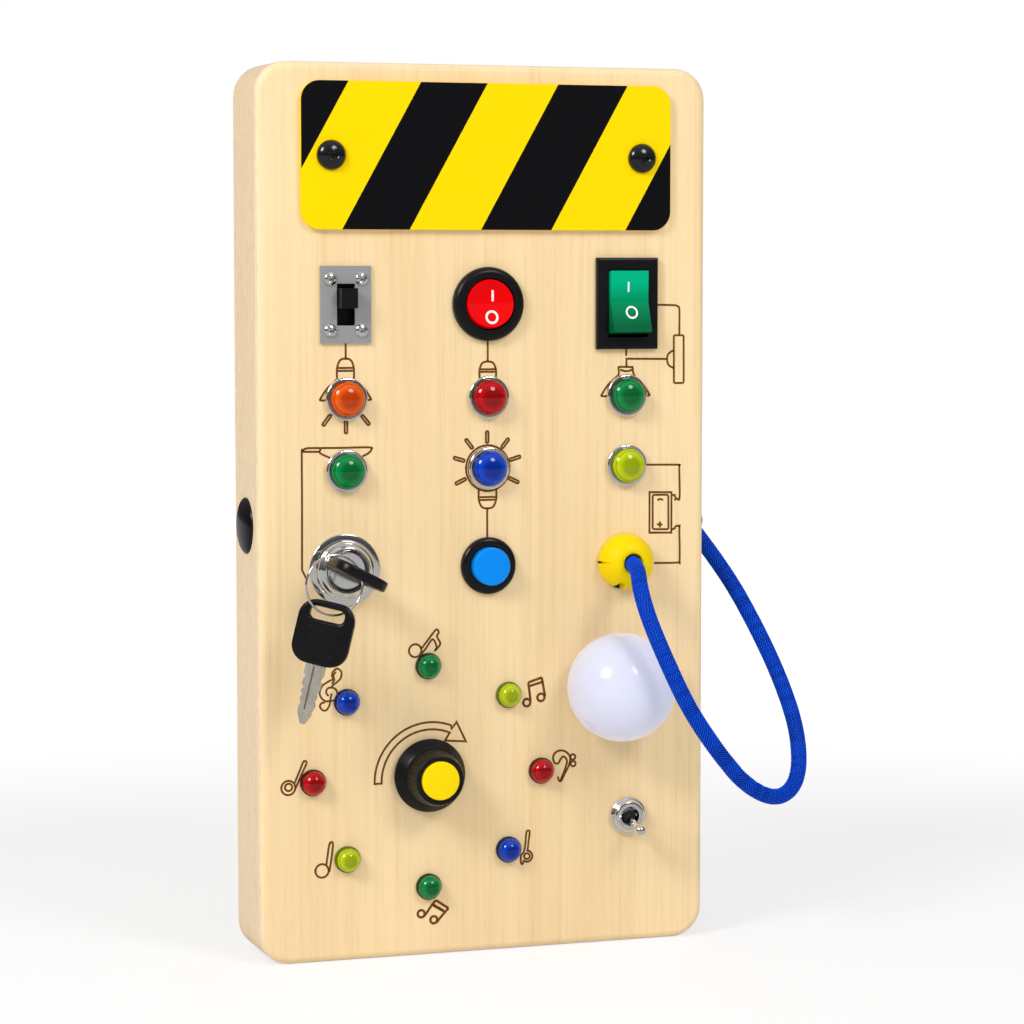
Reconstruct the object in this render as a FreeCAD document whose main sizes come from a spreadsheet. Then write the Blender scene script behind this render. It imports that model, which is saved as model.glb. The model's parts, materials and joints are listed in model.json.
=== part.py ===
import FreeCAD, Part
import math
import os

import Sketcher
from FreeCAD import Placement, Rotation, Vector

# Wooden busy board: a hollow plywood box that stands on its bottom edge and carries
# switches, lamps, a key lock, a rotary selector and a corded plug on its face.
# The face is the plane y = 0 and looks towards -Y. X runs to the right, Z up, and the
# origin is the middle of the bottom edge of the face. Lengths in millimetres.

SHEET = {
    # plywood box
    "board_width": 149.0,
    "board_height": 282.0,
    "board_corner": 10.0,
    "face_edge_round": 2.5,
    "rear_edge_round": 1.5,
    "panel_thick": 5.0,
    "frame_depth": 22.0,
    "frame_wall": 10.0,
    "frame_inner_corner": 4.0,
    "back_thick": 3.0,
    # clearances
    "hole_gap": 0.1,
    "sliding_gap": 0.3,
    "running_gap": 0.05,
    "pivot_gap": 0.12,
    # columns and rows of the face
    "left_column": -46.2,
    "middle_column": 0.5,
    "right_column": 47.2,
    "key_column": -46.8,
    "plug_column": 46.7,
    "lamp_column": 41.9,
    "toggle_column": 48.0,
    "plate_row": 253.2,
    "switch_row": 207.0,
    "upper_lamp_row": 177.6,
    "lower_lamp_row": 155.1,
    "key_row": 124.1,
    "ball_row": 84.8,
    "toggle_row": 41.4,
    # screws that hold the back on
    "back_screw_low": 20.0,
    "back_screw_step": 80.0,
    "back_screw_radius": 1.5,
    "back_screw_head": 3.0,
    "back_screw_head_depth": 1.6,
    "back_screw_length": 14.0,
    # striped plate
    "plate_width": 122.2,
    "plate_height": 45.8,
    "plate_thick": 1.8,
    "plate_corner": 6.0,
    "plate_screw_spread": 51.4,
    "plate_screw_radius": 1.5,
    "plate_screw_head": 4.8,
    "plate_screw_head_height": 2.8,
    "plate_screw_head_round": 2.2,
    "plate_screw_length": 4.2,
    # slide switch
    "slide_plate_width": 16.3,
    "slide_plate_height": 24.0,
    "slide_plate_thick": 1.0,
    "slide_slot_width": 5.9,
    "slide_slot_height": 13.0,
    "slide_slot_depth": 3.2,
    "slide_body_width": 6.9,
    "slide_body_height": 20.0,
    "slide_body_depth": 10.0,
    "slide_knob_width": 5.2,
    "slide_knob_height": 6.2,
    "slide_knob_reach": 5.5,
    "slide_knob_rest": 2.0,
    "slide_screw_spread_x": 5.0,
    "slide_screw_spread_z": 8.0,
    "slide_screw_radius": 0.9,
    "slide_screw_head": 2.0,
    "slide_screw_head_height": 1.1,
    "slide_screw_length": 3.8,
    # round rocker switch
    "round_flange": 11.7,
    "round_flange_thick": 2.8,
    "round_flange_round": 2.0,
    "round_body": 9.8,
    "round_body_depth": 15.0,
    "round_rocker": 7.9,
    "round_rocker_front": 2.6,
    "round_rocker_valley": 0.7,
    "round_rocker_rear": 3.0,
    "round_pocket_depth": 3.4,
    "round_tilt": 6.0,
    "rocker_axis_depth": 1.0,
    "rocker_pin": 0.6,
    "rocker_pin_reach": 0.8,
    # square rocker switch
    "square_flange_width": 20.8,
    "square_flange_height": 29.2,
    "square_flange_thick": 2.0,
    "square_flange_round": 0.8,
    "square_body_width": 18.8,
    "square_body_height": 26.6,
    "square_body_depth": 15.0,
    "square_pocket_width": 13.4,
    "square_pocket_height": 21.6,
    "square_pocket_depth": 5.2,
    "square_rocker_half": 9.9,
    "square_rocker_rear_half": 9.4,
    "square_rocker_front": 4.2,
    "square_rocker_valley": 1.9,
    "square_rocker_rear": 3.0,
    "square_tilt": 10.0,
    # push button
    "button_flange": 9.1,
    "button_flange_thick": 2.0,
    "button_flange_round": 1.4,
    "button_barrel": 7.8,
    "button_barrel_depth": 14.0,
    "button_cap": 6.05,
    "button_cap_reach": 4.9,
    "button_cap_rear": 4.0,
    "button_cap_round": 0.6,
    "button_bore_depth": 10.5,
    "button_spring_radius": 3.4,
    "button_spring_wire": 0.35,
    "button_spring_turns": 5.0,
    # key lock and keys
    "lock_washer": 11.5,
    "lock_washer_thick": 0.8,
    "lock_ring": 9.3,
    "lock_ring_shoulder": 3.2,
    "lock_ring_front": 7.6,
    "lock_ring_height": 4.4,
    "lock_ring_inner": 6.5,
    "lock_recess": 1.2,
    "lock_barrel": 8.0,
    "lock_barrel_depth": 17.0,
    "lock_plug": 5.5,
    "lock_plug_front": 3.8,
    "lock_plug_rear": 19.0,
    "key_turn": 24.0,
    "key_head_width": 18.0,
    "key_head_length": 20.0,
    "key_head_thick": 3.4,
    "key_head_corner": 6.0,
    "key_head_round": 0.8,
    "key_slot_width": 11.0,
    "key_slot_height": 4.0,
    "key_slot_strip": 2.2,
    "key_blade_width": 6.4,
    "key_blade_thick": 1.9,
    "key_blade_length": 18.4,
    "key_blade_tip": 4.0,
    "key_head_clear": 0.6,
    "ring_radius": 9.3,
    "ring_wire": 0.65,
    "ring_along": -7.2,
    "ring_below": 6.0,
    "ring_turn": 6.0,
    "ring_out": 0.6,
    "spare_hang": 2.05,
    "spare_lean": 14.0,
    "spare_turn": -28.0,
    # rotary selector
    "selector_column": -19.5,
    "selector_row": 58.1,
    "knob_skirt": 11.75,
    "knob_skirt_height": 2.2,
    "knob_waist": 9.2,
    "knob_waist_height": 4.6,
    "knob_front": 7.7,
    "knob_height": 13.2,
    "knob_face_gap": 0.4,
    "knob_recess": 7.5,
    "knob_recess_height": 3.2,
    "knob_cap_radius": 6.1,
    "knob_cap_seat": 1.2,
    "knob_cap_proud": 0.8,
    "knob_shaft_radius": 3.0,
    "knob_shaft_reach": 9.8,
    "knob_shaft_rear": 13.0,
    "selector_bush": 4.4,
    "selector_bush_reach": 2.5,
    "selector_can": 13.0,
    "selector_can_depth": 12.0,
    # ball lamp
    "globe_radius": 17.4,
    "globe_reach": 11.0,
    "globe_wall": 1.5,
    "lamp_flange": 14.0,
    "lamp_flange_thick": 1.0,
    "lamp_barrel": 10.8,
    "lamp_barrel_depth": 12.0,
    "lamp_diode": 4.0,
    "lamp_diode_height": 7.0,
    # toggle switch
    "toggle_ring": 6.3,
    "toggle_ring_height": 3.0,
    "toggle_ring_shoulder": 4.4,
    "toggle_bush": 3.9,
    "toggle_bore": 3.1,
    "toggle_body_width": 12.0,
    "toggle_body_height": 18.0,
    "toggle_body_depth": 13.0,
    "toggle_ball": 2.85,
    "toggle_lever": 1.1,
    "toggle_lever_reach": 14.6,
    "toggle_tip": 1.8,
    "toggle_tilt": 14.0,
    "toggle_axis_depth": 0.5,
    "toggle_pin": 0.6,
    "toggle_pin_half": 3.45,
    "toggle_bore_depth": 4.0,
    # plug, its socket and the cord
    "socket_flange": 8.9,
    "socket_flange_thick": 1.2,
    "socket_barrel": 4.0,
    "socket_depth": 16.0,
    "plug_head": 8.6,
    "plug_head_height": 7.6,
    "plug_head_round": 5.0,
    "plug_head_rear_round": 0.8,
    "plug_cord_hole": 3.2,
    "plug_cord_hole_depth": 2.4,
    "plug_pin": 1.75,
    "plug_pin_length": 14.0,
    "cord_radius": 2.6,
    "grommet_height": 135.6,
    "grommet_radius": 5.2,
    "grommet_tail": 3.2,
    "grommet_tail_length": 9.0,
    # plug in the left side wall
    "cap_height": 137.6,
    "cap_radius": 8.9,
    "cap_thick": 2.4,
    "cap_round": 1.9,
    "cap_tail": 5.0,
    "cap_tail_length": 9.0,
    # indicator lamps with metal bezels
    "bezel_outer": 6.8,
    "bezel_height": 1.8,
    "bezel_round": 0.6,
    "bezel_barrel": 6.2,
    "bezel_depth": 11.0,
    "lens_radius": 5.5,
    "lens_reach": 5.0,
    "lens_round": 4.2,
    "lens_rear": 5.0,
    # ring of small lamps round the selector
    "ring_centre_row": 57.5,
    "ring_half_width": 37.9,
    "ring_half_height": 35.3,
    "small_lamp": 4.0,
    "small_lamp_collar": 4.5,
    "small_lamp_collar_height": 0.8,
    "small_lamp_reach": 4.6,
    "small_lamp_round": 3.3,
    "small_lamp_rear": 8.0,
    # hexagon nuts behind the panel
    "nut_thick": 2.4,
    "nut_rim": 2.6,
    "selector_nut_thick": 2.0,
    "selector_nut_rim": 1.7,
    # battery box
    "battery_row": 251.0,
    "battery_radius": 7.1,
    "battery_length": 49.5,
    "battery_pitch": 15.2,
    "bay_gap": 0.3,
    "holder_depth": 16.0,
    "holder_floor": 1.2,
    "holder_side_wall": 4.0,
    "holder_end_wall": 7.0,
    "contact_thick": 0.5,
    "cover_width": 60.0,
    "cover_height": 33.0,
    "cover_gap": 0.3,
    "cover_screw_inset": 2.4,
    "cover_screw_radius": 1.2,
    "cover_screw_head": 2.0,
    "cover_screw_head_depth": 1.2,
    "cover_screw_length": 8.0,
    "contact_side": 8.0,
    # circuit board
    "circuit_width": 52.0,
    "circuit_height": 60.0,
    "circuit_thick": 1.6,
    "circuit_column": -20.0,
    "circuit_row": 58.0,
    "spacer_radius": 2.5,
    "spacer_length": 3.6,
    "spacer_inset": 4.0,
    "spacer_screw": 1.2,
    "spacer_screw_head": 2.2,
    "spacer_screw_head_height": 1.4,
    "spacer_screw_bite": 2.0,
}

# The cord's route in millimetres, from the side wall round to the plug.
CORD_ROUTE = [
    (77.2, 15.0, 132.0),
    (86.8, 13.2, 119.4),
    (95.6, 9.6, 103.0),
    (102.9, 3.2, 84.2),
    (106.3, -4.6, 66.6),
    (103.0, -13.4, 51.9),
    (92.0, -21.6, 47.0),
    (78.0, -28.0, 53.4),
    (65.4, -33.6, 66.4),
    (54.6, -37.0, 80.8),
    (48.3, -36.2, 96.0),
    (45.8, -31.0, 108.6),
    (45.9, -24.0, 117.6),
    (46.7, -16.0, 124.1),
    (46.7, -6.7, 124.1),
]

SMALL_LAMP_COLOURS = ["red", "lime", "green", "blue"]

doc = FreeCAD.newDocument("busy_board")


class Size:
    """A length or an angle: its number, and the sheet expression that gives it."""

    def __init__(self, number, text):
        self.number = number
        self.text = text

    def __add__(self, other):
        other = as_size(other)
        return Size(self.number + other.number, "(%s + %s)" % (self.text, other.text))

    def __sub__(self, other):
        other = as_size(other)
        return Size(self.number - other.number, "(%s - %s)" % (self.text, other.text))

    def __mul__(self, other):
        other = as_size(other)
        return Size(self.number * other.number, "(%s * %s)" % (self.text, other.text))

    def __truediv__(self, other):
        other = as_size(other)
        return Size(self.number / other.number, "(%s / %s)" % (self.text, other.text))

    def __neg__(self):
        return Size(-self.number, "(0 - %s)" % self.text)

    __radd__ = __add__
    __rmul__ = __mul__


def as_size(value):
    if isinstance(value, Size):
        return value
    return Size(float(value), repr(float(value)))


class Sheet:
    """The driving dimensions, read as attributes of one object."""

    def __init__(self, values):
        cells = doc.addObject("Spreadsheet::Sheet", "sizes")
        for row, (alias, value) in enumerate(values.items(), start=1):
            cells.set("A%d" % row, alias.replace("_", " "))
            cells.set("B%d" % row, str(value))
            cells.setAlias("B%d" % row, alias)
            setattr(self, alias, Size(value, "sizes." + alias))
        doc.recompute()


dim = Sheet(SHEET)
ZERO = as_size(0)
board_depth = dim.panel_thick + dim.frame_depth + dim.back_thick
inside_rear = dim.panel_thick + dim.frame_depth
wall_middle = board_depth / 2
side_wall = dim.board_width / 2
screw_column = side_wall - dim.frame_wall / 2


def bind(obj, name, size):
    obj.setExpression(name, as_size(size).text)


def place(obj, at, axis=None, angle=None):
    """Put an object at a point, turned about an axis."""
    numbers = [as_size(c).number for c in at]
    turn = Rotation()
    if axis is not None:
        turn = Rotation(axis, as_size(angle).number)
    obj.Placement = Placement(Vector(*numbers), turn)
    for letter, coordinate in zip("xyz", at):
        bind(obj, "Placement.Base." + letter, coordinate)
    if isinstance(angle, Size):
        bind(obj, "Placement.Rotation.Angle", angle)
    return obj


nodes = {}


def label(obj, name):
    obj.Label = name
    nodes[name] = obj
    return obj


# Sketches and the bodies made from them


def new_body(name):
    return doc.addObject("PartDesign::Body", name + "_body")


def new_sketch(body, plane):
    sketch = body.newObject("Sketcher::SketchObject", body.Name + "_sketch")
    for feature in body.Origin.OriginFeatures:
        if feature.Role == plane:
            sketch.AttachmentSupport = (feature, [""])
    sketch.MapMode = "FlatFace"
    return sketch


def pin_point(sketch, geometry, point, u, v):
    """Hold one point of a sketch at two sizes from the origin."""
    for kind, size in (("DistanceX", u), ("DistanceY", v)):
        size = as_size(size)
        held = Sketcher.Constraint(kind, -1, 1, geometry, point, size.number)
        index = sketch.addConstraint(held)
        bind(sketch, "Constraints[%d]" % index, size)


def add_polygon(sketch, points):
    corners = [Vector(as_size(u).number, as_size(v).number, 0) for u, v in points]
    count = len(points)
    first = sketch.GeometryCount
    for i in range(count):
        sketch.addGeometry(Part.LineSegment(corners[i], corners[(i + 1) % count]), False)
    for i in range(count):
        following = first + (i + 1) % count
        sketch.addConstraint(Sketcher.Constraint("Coincident", first + i, 2, following, 1))
    for i, (u, v) in enumerate(points):
        pin_point(sketch, first + i, 1, u, v)


def add_circle(sketch, u, v, radius):
    u, v, radius = as_size(u), as_size(v), as_size(radius)
    centre = Vector(u.number, v.number, 0)
    index = sketch.addGeometry(Part.Circle(centre, Vector(0, 0, 1), radius.number), False)
    pin_point(sketch, index, 3, u, v)
    held = sketch.addConstraint(Sketcher.Constraint("Radius", index, radius.number))
    bind(sketch, "Constraints[%d]" % held, radius)


def rectangle(width, height, u=0, v=0):
    half_w = as_size(width) / 2
    half_h = as_size(height) / 2
    u, v = as_size(u), as_size(v)
    return [(u - half_w, v - half_h), (u + half_w, v - half_h),
            (u + half_w, v + half_h), (u - half_w, v + half_h)]


def pad(body, points, length):
    """Extrude an outline of X and Z points backwards, towards +Y."""
    sketch = new_sketch(body, "XZ_Plane")
    add_polygon(sketch, points)
    feature = body.newObject("PartDesign::Pad", body.Name + "_pad")
    feature.Profile = sketch
    feature.Reversed = True
    bind(feature, "Length", length)
    doc.recompute()
    return feature


def pocket(body, polygons=(), circles=(), depth=None):
    """Cut outlines of X and Z points into a body from its front, or right through."""
    sketch = new_sketch(body, "XZ_Plane")
    for points in polygons:
        add_polygon(sketch, points)
    for u, v, radius in circles:
        add_circle(sketch, u, v, radius)
    feature = body.newObject("PartDesign::Pocket", body.Name + "_pocket")
    feature.Profile = sketch
    if depth is None:
        feature.Type = 1
    else:
        bind(feature, "Length", depth)
    doc.recompute()
    return feature


def round_edges(body, radius, pick):
    """Round the edges of a body's last feature that pick says yes to."""
    base = body.Tip
    names = ["Edge%d" % (i + 1) for i, edge in enumerate(base.Shape.Edges) if pick(edge)]
    feature = body.newObject("PartDesign::Fillet", body.Name + "_fillet")
    feature.Base = (base, names)
    bind(feature, "Radius", radius)
    doc.recompute()
    return feature


def along_y(edge):
    ends = edge.Vertexes
    return len(ends) == 2 and abs(edge.tangentAt(edge.FirstParameter).y) > 0.999


def in_front(level=0.0):
    def pick(edge):
        box = edge.BoundBox
        return abs(box.YMin - level) < 1e-4 and abs(box.YMax - level) < 1e-4
    return pick


def circle_at(radius, level):
    """Pick the full circle of a radius at a depth of a turned piece."""
    radius, level = as_size(radius).number, as_size(level).number

    def pick(edge):
        curve = edge.Curve
        if not isinstance(curve, Part.Circle) or abs(curve.Radius - radius) > 1e-4:
            return False
        return abs(curve.Center.y - level) < 1e-4
    return pick


def turned(name, at, points, rounds=()):
    """Revolve points of radius and depth about a line along Y through x, z."""
    body = new_body(name)
    sketch = new_sketch(body, "XY_Plane")
    add_polygon(sketch, points)
    feature = body.newObject("PartDesign::Revolution", body.Name + "_turn")
    feature.Profile = sketch
    feature.ReferenceAxis = (sketch, ["V_Axis"])
    feature.Angle = 360
    doc.recompute()
    for radius, level, fillet in rounds:
        round_edges(body, fillet, circle_at(radius, level))
    place(body, (at[0], 0, at[1]))
    return body


def tube_profile(inner, outer, start, end):
    return [(inner, start), (outer, start), (outer, end), (inner, end)]


def box(name, size, at, axis=None, angle=None):
    """A block centred on x and z that runs back from y."""
    block = new_body(name)
    pad(block, rectangle(size[0], size[2]), size[1])
    place(block, at, axis, angle)
    return block


def cylinder_y(name, at, radius, length):
    """A cylinder that runs towards +Y from a point."""
    rod = doc.addObject("Part::Cylinder", name)
    bind(rod, "Radius", radius)
    bind(rod, "Height", length)
    place(rod, at, Vector(1, 0, 0), -90)
    return rod


def cylinder_x(name, at, radius, length):
    rod = doc.addObject("Part::Cylinder", name)
    bind(rod, "Radius", radius)
    bind(rod, "Height", length)
    place(rod, at, Vector(0, 1, 0), 90)
    return rod


def sphere(name, at, radius):
    ball = doc.addObject("Part::Sphere", name)
    bind(ball, "Radius", radius)
    place(ball, at)
    return ball


def cut(name, base, tool):
    feature = doc.addObject("Part::Cut", name + "_cut")
    feature.Base = base
    feature.Tool = tool
    return feature


def fuse(name, pieces):
    feature = doc.addObject("Part::MultiFuse", name + "_fuse")
    feature.Shapes = pieces
    return feature


def common(name, pieces):
    feature = doc.addObject("Part::MultiCommon", name + "_common")
    feature.Shapes = pieces
    return feature


def group(name, pieces):
    """Separate solids that share one node."""
    feature = doc.addObject("Part::Compound", name + "_group")
    feature.Links = pieces
    return feature


# Places that several pieces share

small_lamp_places = []
for step in range(8):
    turn = math.radians(45 * step)
    across = dim.selector_column + dim.ring_half_width * round(math.cos(turn), 6)
    up = dim.ring_centre_row + dim.ring_half_height * round(math.sin(turn), 6)
    small_lamp_places.append((across, up))

big_lamps = {
    "orange": [(dim.left_column, dim.upper_lamp_row)],
    "red": [(dim.middle_column, dim.upper_lamp_row)],
    "green": [(dim.left_column, dim.lower_lamp_row), (dim.right_column, dim.upper_lamp_row)],
    "blue": [(dim.middle_column, dim.lower_lamp_row)],
    "lime": [(dim.right_column, dim.lower_lamp_row)],
}
big_lamp_places = [at for places in big_lamps.values() for at in places]

plate_screw_places = [(dim.middle_column + dim.plate_screw_spread * side, dim.plate_row)
                      for side in (-1, 1)]
slide_screw_places = [(dim.left_column + dim.slide_screw_spread_x * side,
                       dim.switch_row + dim.slide_screw_spread_z * level)
                      for side in (-1, 1) for level in (-1, 1)]
back_screw_places = [(screw_column * side, dim.back_screw_low + dim.back_screw_step * level)
                     for side in (-1, 1) for level in range(4)]
spacer_places = [(dim.circuit_column + (dim.circuit_width / 2 - dim.spacer_inset) * side,
                  dim.circuit_row + (dim.circuit_height / 2 - dim.spacer_inset) * level)
                 for side in (-1, 1) for level in (-1, 1)]
cover_screw_places = [((dim.cover_width / 2 - dim.cover_screw_inset) * side, dim.battery_row)
                      for side in (-1, 1)]


# Plywood box


def make_front_panel():
    body = new_body("front_panel")
    outline = rectangle(dim.board_width, dim.board_height, 0, dim.board_height / 2)
    pad(body, outline, dim.panel_thick)
    round_edges(body, dim.board_corner, along_y)
    round_edges(body, dim.face_edge_round, in_front())
    gap = dim.hole_gap
    round_holes = [(x, z, dim.bezel_barrel + gap) for x, z in big_lamp_places]
    round_holes += [(x, z, dim.small_lamp + gap) for x, z in small_lamp_places]
    round_holes += [
        (dim.middle_column, dim.switch_row, dim.round_body + gap),
        (dim.middle_column, dim.key_row, dim.button_barrel + gap),
        (dim.key_column, dim.key_row, dim.lock_barrel + gap),
        (dim.plug_column, dim.key_row, dim.socket_barrel + gap),
        (dim.lamp_column, dim.ball_row, dim.lamp_barrel + gap),
        (dim.selector_column, dim.selector_row, dim.selector_bush + gap),
        (dim.toggle_column, dim.toggle_row, dim.toggle_bush + gap),
    ]
    round_holes += [(x, z, dim.plate_screw_radius) for x, z in plate_screw_places]
    round_holes += [(x, z, dim.slide_screw_radius) for x, z in slide_screw_places]
    slots = [
        rectangle(dim.slide_body_width + gap * 2, dim.slide_body_height + gap * 2,
                  dim.left_column, dim.switch_row),
        rectangle(dim.square_body_width + gap * 2, dim.square_body_height + gap * 2,
                  dim.right_column, dim.switch_row),
    ]
    pocket(body, slots, round_holes)
    label(body, "front_panel")


def make_side_frame():
    body = new_body("side_frame")
    outline = rectangle(dim.board_width, dim.board_height, 0, dim.board_height / 2)
    pad(body, outline, dim.frame_depth)
    round_edges(body, dim.board_corner, along_y)
    inner = rectangle(dim.board_width - dim.frame_wall * 2, dim.board_height - dim.frame_wall * 2,
                      0, dim.board_height / 2)
    pocket(body, [inner])
    limit = (dim.board_width / 2 - dim.frame_wall).number + 0.01
    round_edges(body, dim.frame_inner_corner,
                lambda edge: along_y(edge) and abs(edge.Vertexes[0].X) < limit)
    place(body, (0, dim.panel_thick, 0))
    through = dim.frame_wall + 2
    tools = [
        cylinder_x("cap_bore", (-side_wall - 1, wall_middle, dim.cap_height), dim.cap_tail, through),
        cylinder_x("grommet_bore", (side_wall - dim.frame_wall - 1, wall_middle, dim.grommet_height),
                   dim.grommet_tail, through),
    ]
    depth = dim.back_screw_length - dim.back_thick
    for number, (x, z) in enumerate(back_screw_places):
        tools.append(cylinder_y("frame_pilot_%d" % number, (x, inside_rear - depth, z),
                                dim.back_screw_radius, depth + 1))
    label(cut("side_frame", body, fuse("side_frame_holes", tools)), "side_frame")


def make_back_panel():
    body = new_body("back_panel")
    outline = rectangle(dim.board_width, dim.board_height, 0, dim.board_height / 2)
    pad(body, outline, dim.back_thick)
    round_edges(body, dim.board_corner, along_y)
    round_edges(body, dim.rear_edge_round, in_front(dim.back_thick.number))
    opening = rectangle(dim.cover_width + dim.cover_gap * 2, dim.cover_height + dim.cover_gap * 2,
                        0, dim.battery_row)
    pocket(body, [opening], [(x, z, dim.back_screw_radius) for x, z in back_screw_places])
    pilots = [(x, z, dim.spacer_screw) for x, z in spacer_places]
    pocket(body, (), pilots, dim.spacer_screw_bite)
    place(body, (0, inside_rear, 0))
    tools = []
    for number, (x, z) in enumerate(back_screw_places):
        tools.append(countersink("back_sink_%d" % number, x, z, dim.back_screw_radius,
                                 dim.back_screw_head, dim.back_screw_head_depth))
    label(cut("back_panel", body, fuse("back_panel_sinks", tools)), "back_panel")


def countersink(name, x, z, inner, outer, depth):
    cone = doc.addObject("Part::Cone", name)
    bind(cone, "Radius1", inner)
    bind(cone, "Radius2", outer)
    bind(cone, "Height", depth)
    place(cone, (x, board_depth - depth, z), Vector(1, 0, 0), -90)
    return cone


def make_back_screws():
    screws = []
    for number, (x, z) in enumerate(back_screw_places):
        name = "back_screw_%d" % number
        head = countersink(name + "_head", x, z, dim.back_screw_radius,
                           dim.back_screw_head, dim.back_screw_head_depth)
        length = dim.back_screw_length - dim.back_screw_head_depth
        shank = cylinder_y(name + "_shank", (x, board_depth - dim.back_screw_length, z),
                           dim.back_screw_radius, length)
        screws.append(fuse(name, [head, shank]))
    label(group("back_screws", screws), "back_screws")


# Striped plate


def make_hazard_plate():
    body = new_body("hazard_plate")
    pad(body, rectangle(dim.plate_width, dim.plate_height), dim.plate_thick)
    round_edges(body, dim.plate_corner, along_y)
    holes = [(dim.plate_screw_spread * side, 0, dim.plate_screw_radius) for side in (-1, 1)]
    pocket(body, (), holes)
    place(body, (dim.middle_column, -dim.plate_thick, dim.plate_row))
    label(body, "hazard_plate")


def make_plate_screws():
    screws = []
    for number, at in enumerate(plate_screw_places):
        front = -dim.plate_thick - dim.plate_screw_head_height
        points = [(0, front), (dim.plate_screw_head, front), (dim.plate_screw_head, -dim.plate_thick),
                  (dim.plate_screw_radius, -dim.plate_thick),
                  (dim.plate_screw_radius, dim.plate_screw_length), (0, dim.plate_screw_length)]
        rounds = [(dim.plate_screw_head, front, dim.plate_screw_head_round)]
        screws.append(turned("plate_screw_%d" % number, at, points, rounds))
    label(group("plate_screws", screws), "plate_screws")


# Slide switch


def make_slide_switch():
    x, z = dim.left_column, dim.switch_row
    plate = new_body("slide_switch_plate")
    pad(plate, rectangle(dim.slide_plate_width, dim.slide_plate_height), dim.slide_plate_thick)
    slot = rectangle(dim.slide_slot_width, dim.slide_slot_height)
    holes = [(dim.slide_screw_spread_x * side, dim.slide_screw_spread_z * level,
              dim.slide_screw_radius) for side in (-1, 1) for level in (-1, 1)]
    pocket(plate, [slot], holes)
    place(plate, (x, -dim.slide_plate_thick, z))
    label(plate, "slide_switch_plate")

    body = box("slide_switch_body", (dim.slide_body_width, dim.slide_body_depth,
                                     dim.slide_body_height), (x, ZERO, z))
    pocket(body, [slot], (), dim.slide_slot_depth)
    label(body, "slide_switch_body")

    knob_length = dim.slide_knob_reach + dim.slide_slot_depth - dim.sliding_gap
    knob = box("slide_switch_knob", (dim.slide_knob_width, knob_length, dim.slide_knob_height),
               (x, -dim.slide_knob_reach, z + dim.slide_knob_rest))
    label(knob, "slide_switch_knob")

    screws = []
    for number, at in enumerate(slide_screw_places):
        front = -dim.slide_plate_thick - dim.slide_screw_head_height
        points = [(0, front), (dim.slide_screw_head * 0.6, front),
                  (dim.slide_screw_head, front / 2 - dim.slide_plate_thick / 2),
                  (dim.slide_screw_head, -dim.slide_plate_thick),
                  (dim.slide_screw_radius, -dim.slide_plate_thick),
                  (dim.slide_screw_radius, dim.slide_screw_length), (0, dim.slide_screw_length)]
        screws.append(turned("slide_screw_%d" % number, at, points))
    label(group("slide_switch_screws", screws), "slide_switch_screws")


# Rocker switches


def rocker_block(name, points, width):
    """A prism along X from points of Y and Z, its middle at the origin."""
    body = new_body(name)
    sketch = new_sketch(body, "YZ_Plane")
    add_polygon(sketch, points)
    feature = body.newObject("PartDesign::Pad", body.Name + "_pad")
    feature.Profile = sketch
    feature.Midplane = True
    bind(feature, "Length", width)
    doc.recompute()
    return body


def pivot_pin(name, radius, half):
    """A pin along X with its middle at the origin."""
    return cylinder_x(name + "_pin", (-half, 0, 0), radius, half * 2)


def pivot_hole(name, at, radius, half):
    """The hole along X that a pivot pin turns in."""
    half_hole = half + dim.pivot_gap * 2
    return cylinder_x(name + "_pin_hole", (at[0] - half_hole, at[1], at[2]),
                      radius + dim.pivot_gap, half_hole * 2)


def make_round_rocker():
    at = (dim.middle_column, dim.switch_row)
    pocket_radius = dim.round_rocker + dim.sliding_gap
    front = -dim.round_flange_thick
    points = [(pocket_radius, front), (dim.round_flange, front), (dim.round_flange, 0),
              (dim.round_body, 0), (dim.round_body, dim.round_body_depth),
              (0, dim.round_body_depth), (0, dim.round_pocket_depth),
              (pocket_radius, dim.round_pocket_depth)]
    housing = turned("red_rocker_housing", at, points,
                     [(dim.round_flange, front, dim.round_flange_round)])
    pin_half = dim.round_rocker + dim.rocker_pin_reach
    hole = pivot_hole("red_rocker", (at[0], -dim.rocker_axis_depth, at[1]), dim.rocker_pin, pin_half)
    label(cut("red_rocker_housing", housing, hole), "red_rocker_housing")

    edge = dim.round_rocker + 1
    front = -dim.round_rocker_front
    points = [(front + dim.round_rocker_valley, 0), (front, edge), (dim.round_rocker_rear, edge),
              (dim.round_rocker_rear, -edge), (front, -edge)]
    block = rocker_block("red_rocker_block", points, edge * 2)
    ball = sphere("red_rocker_ball", (0, 0, 0), dim.round_rocker)
    pin = pivot_pin("red_rocker", dim.rocker_pin, pin_half)
    rocker = fuse("red_rocker", [common("red_rocker", [block, ball]), pin])
    place(rocker, (at[0], -dim.rocker_axis_depth, at[1]), Vector(1, 0, 0), -dim.round_tilt)
    label(rocker, "red_rocker")


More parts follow.
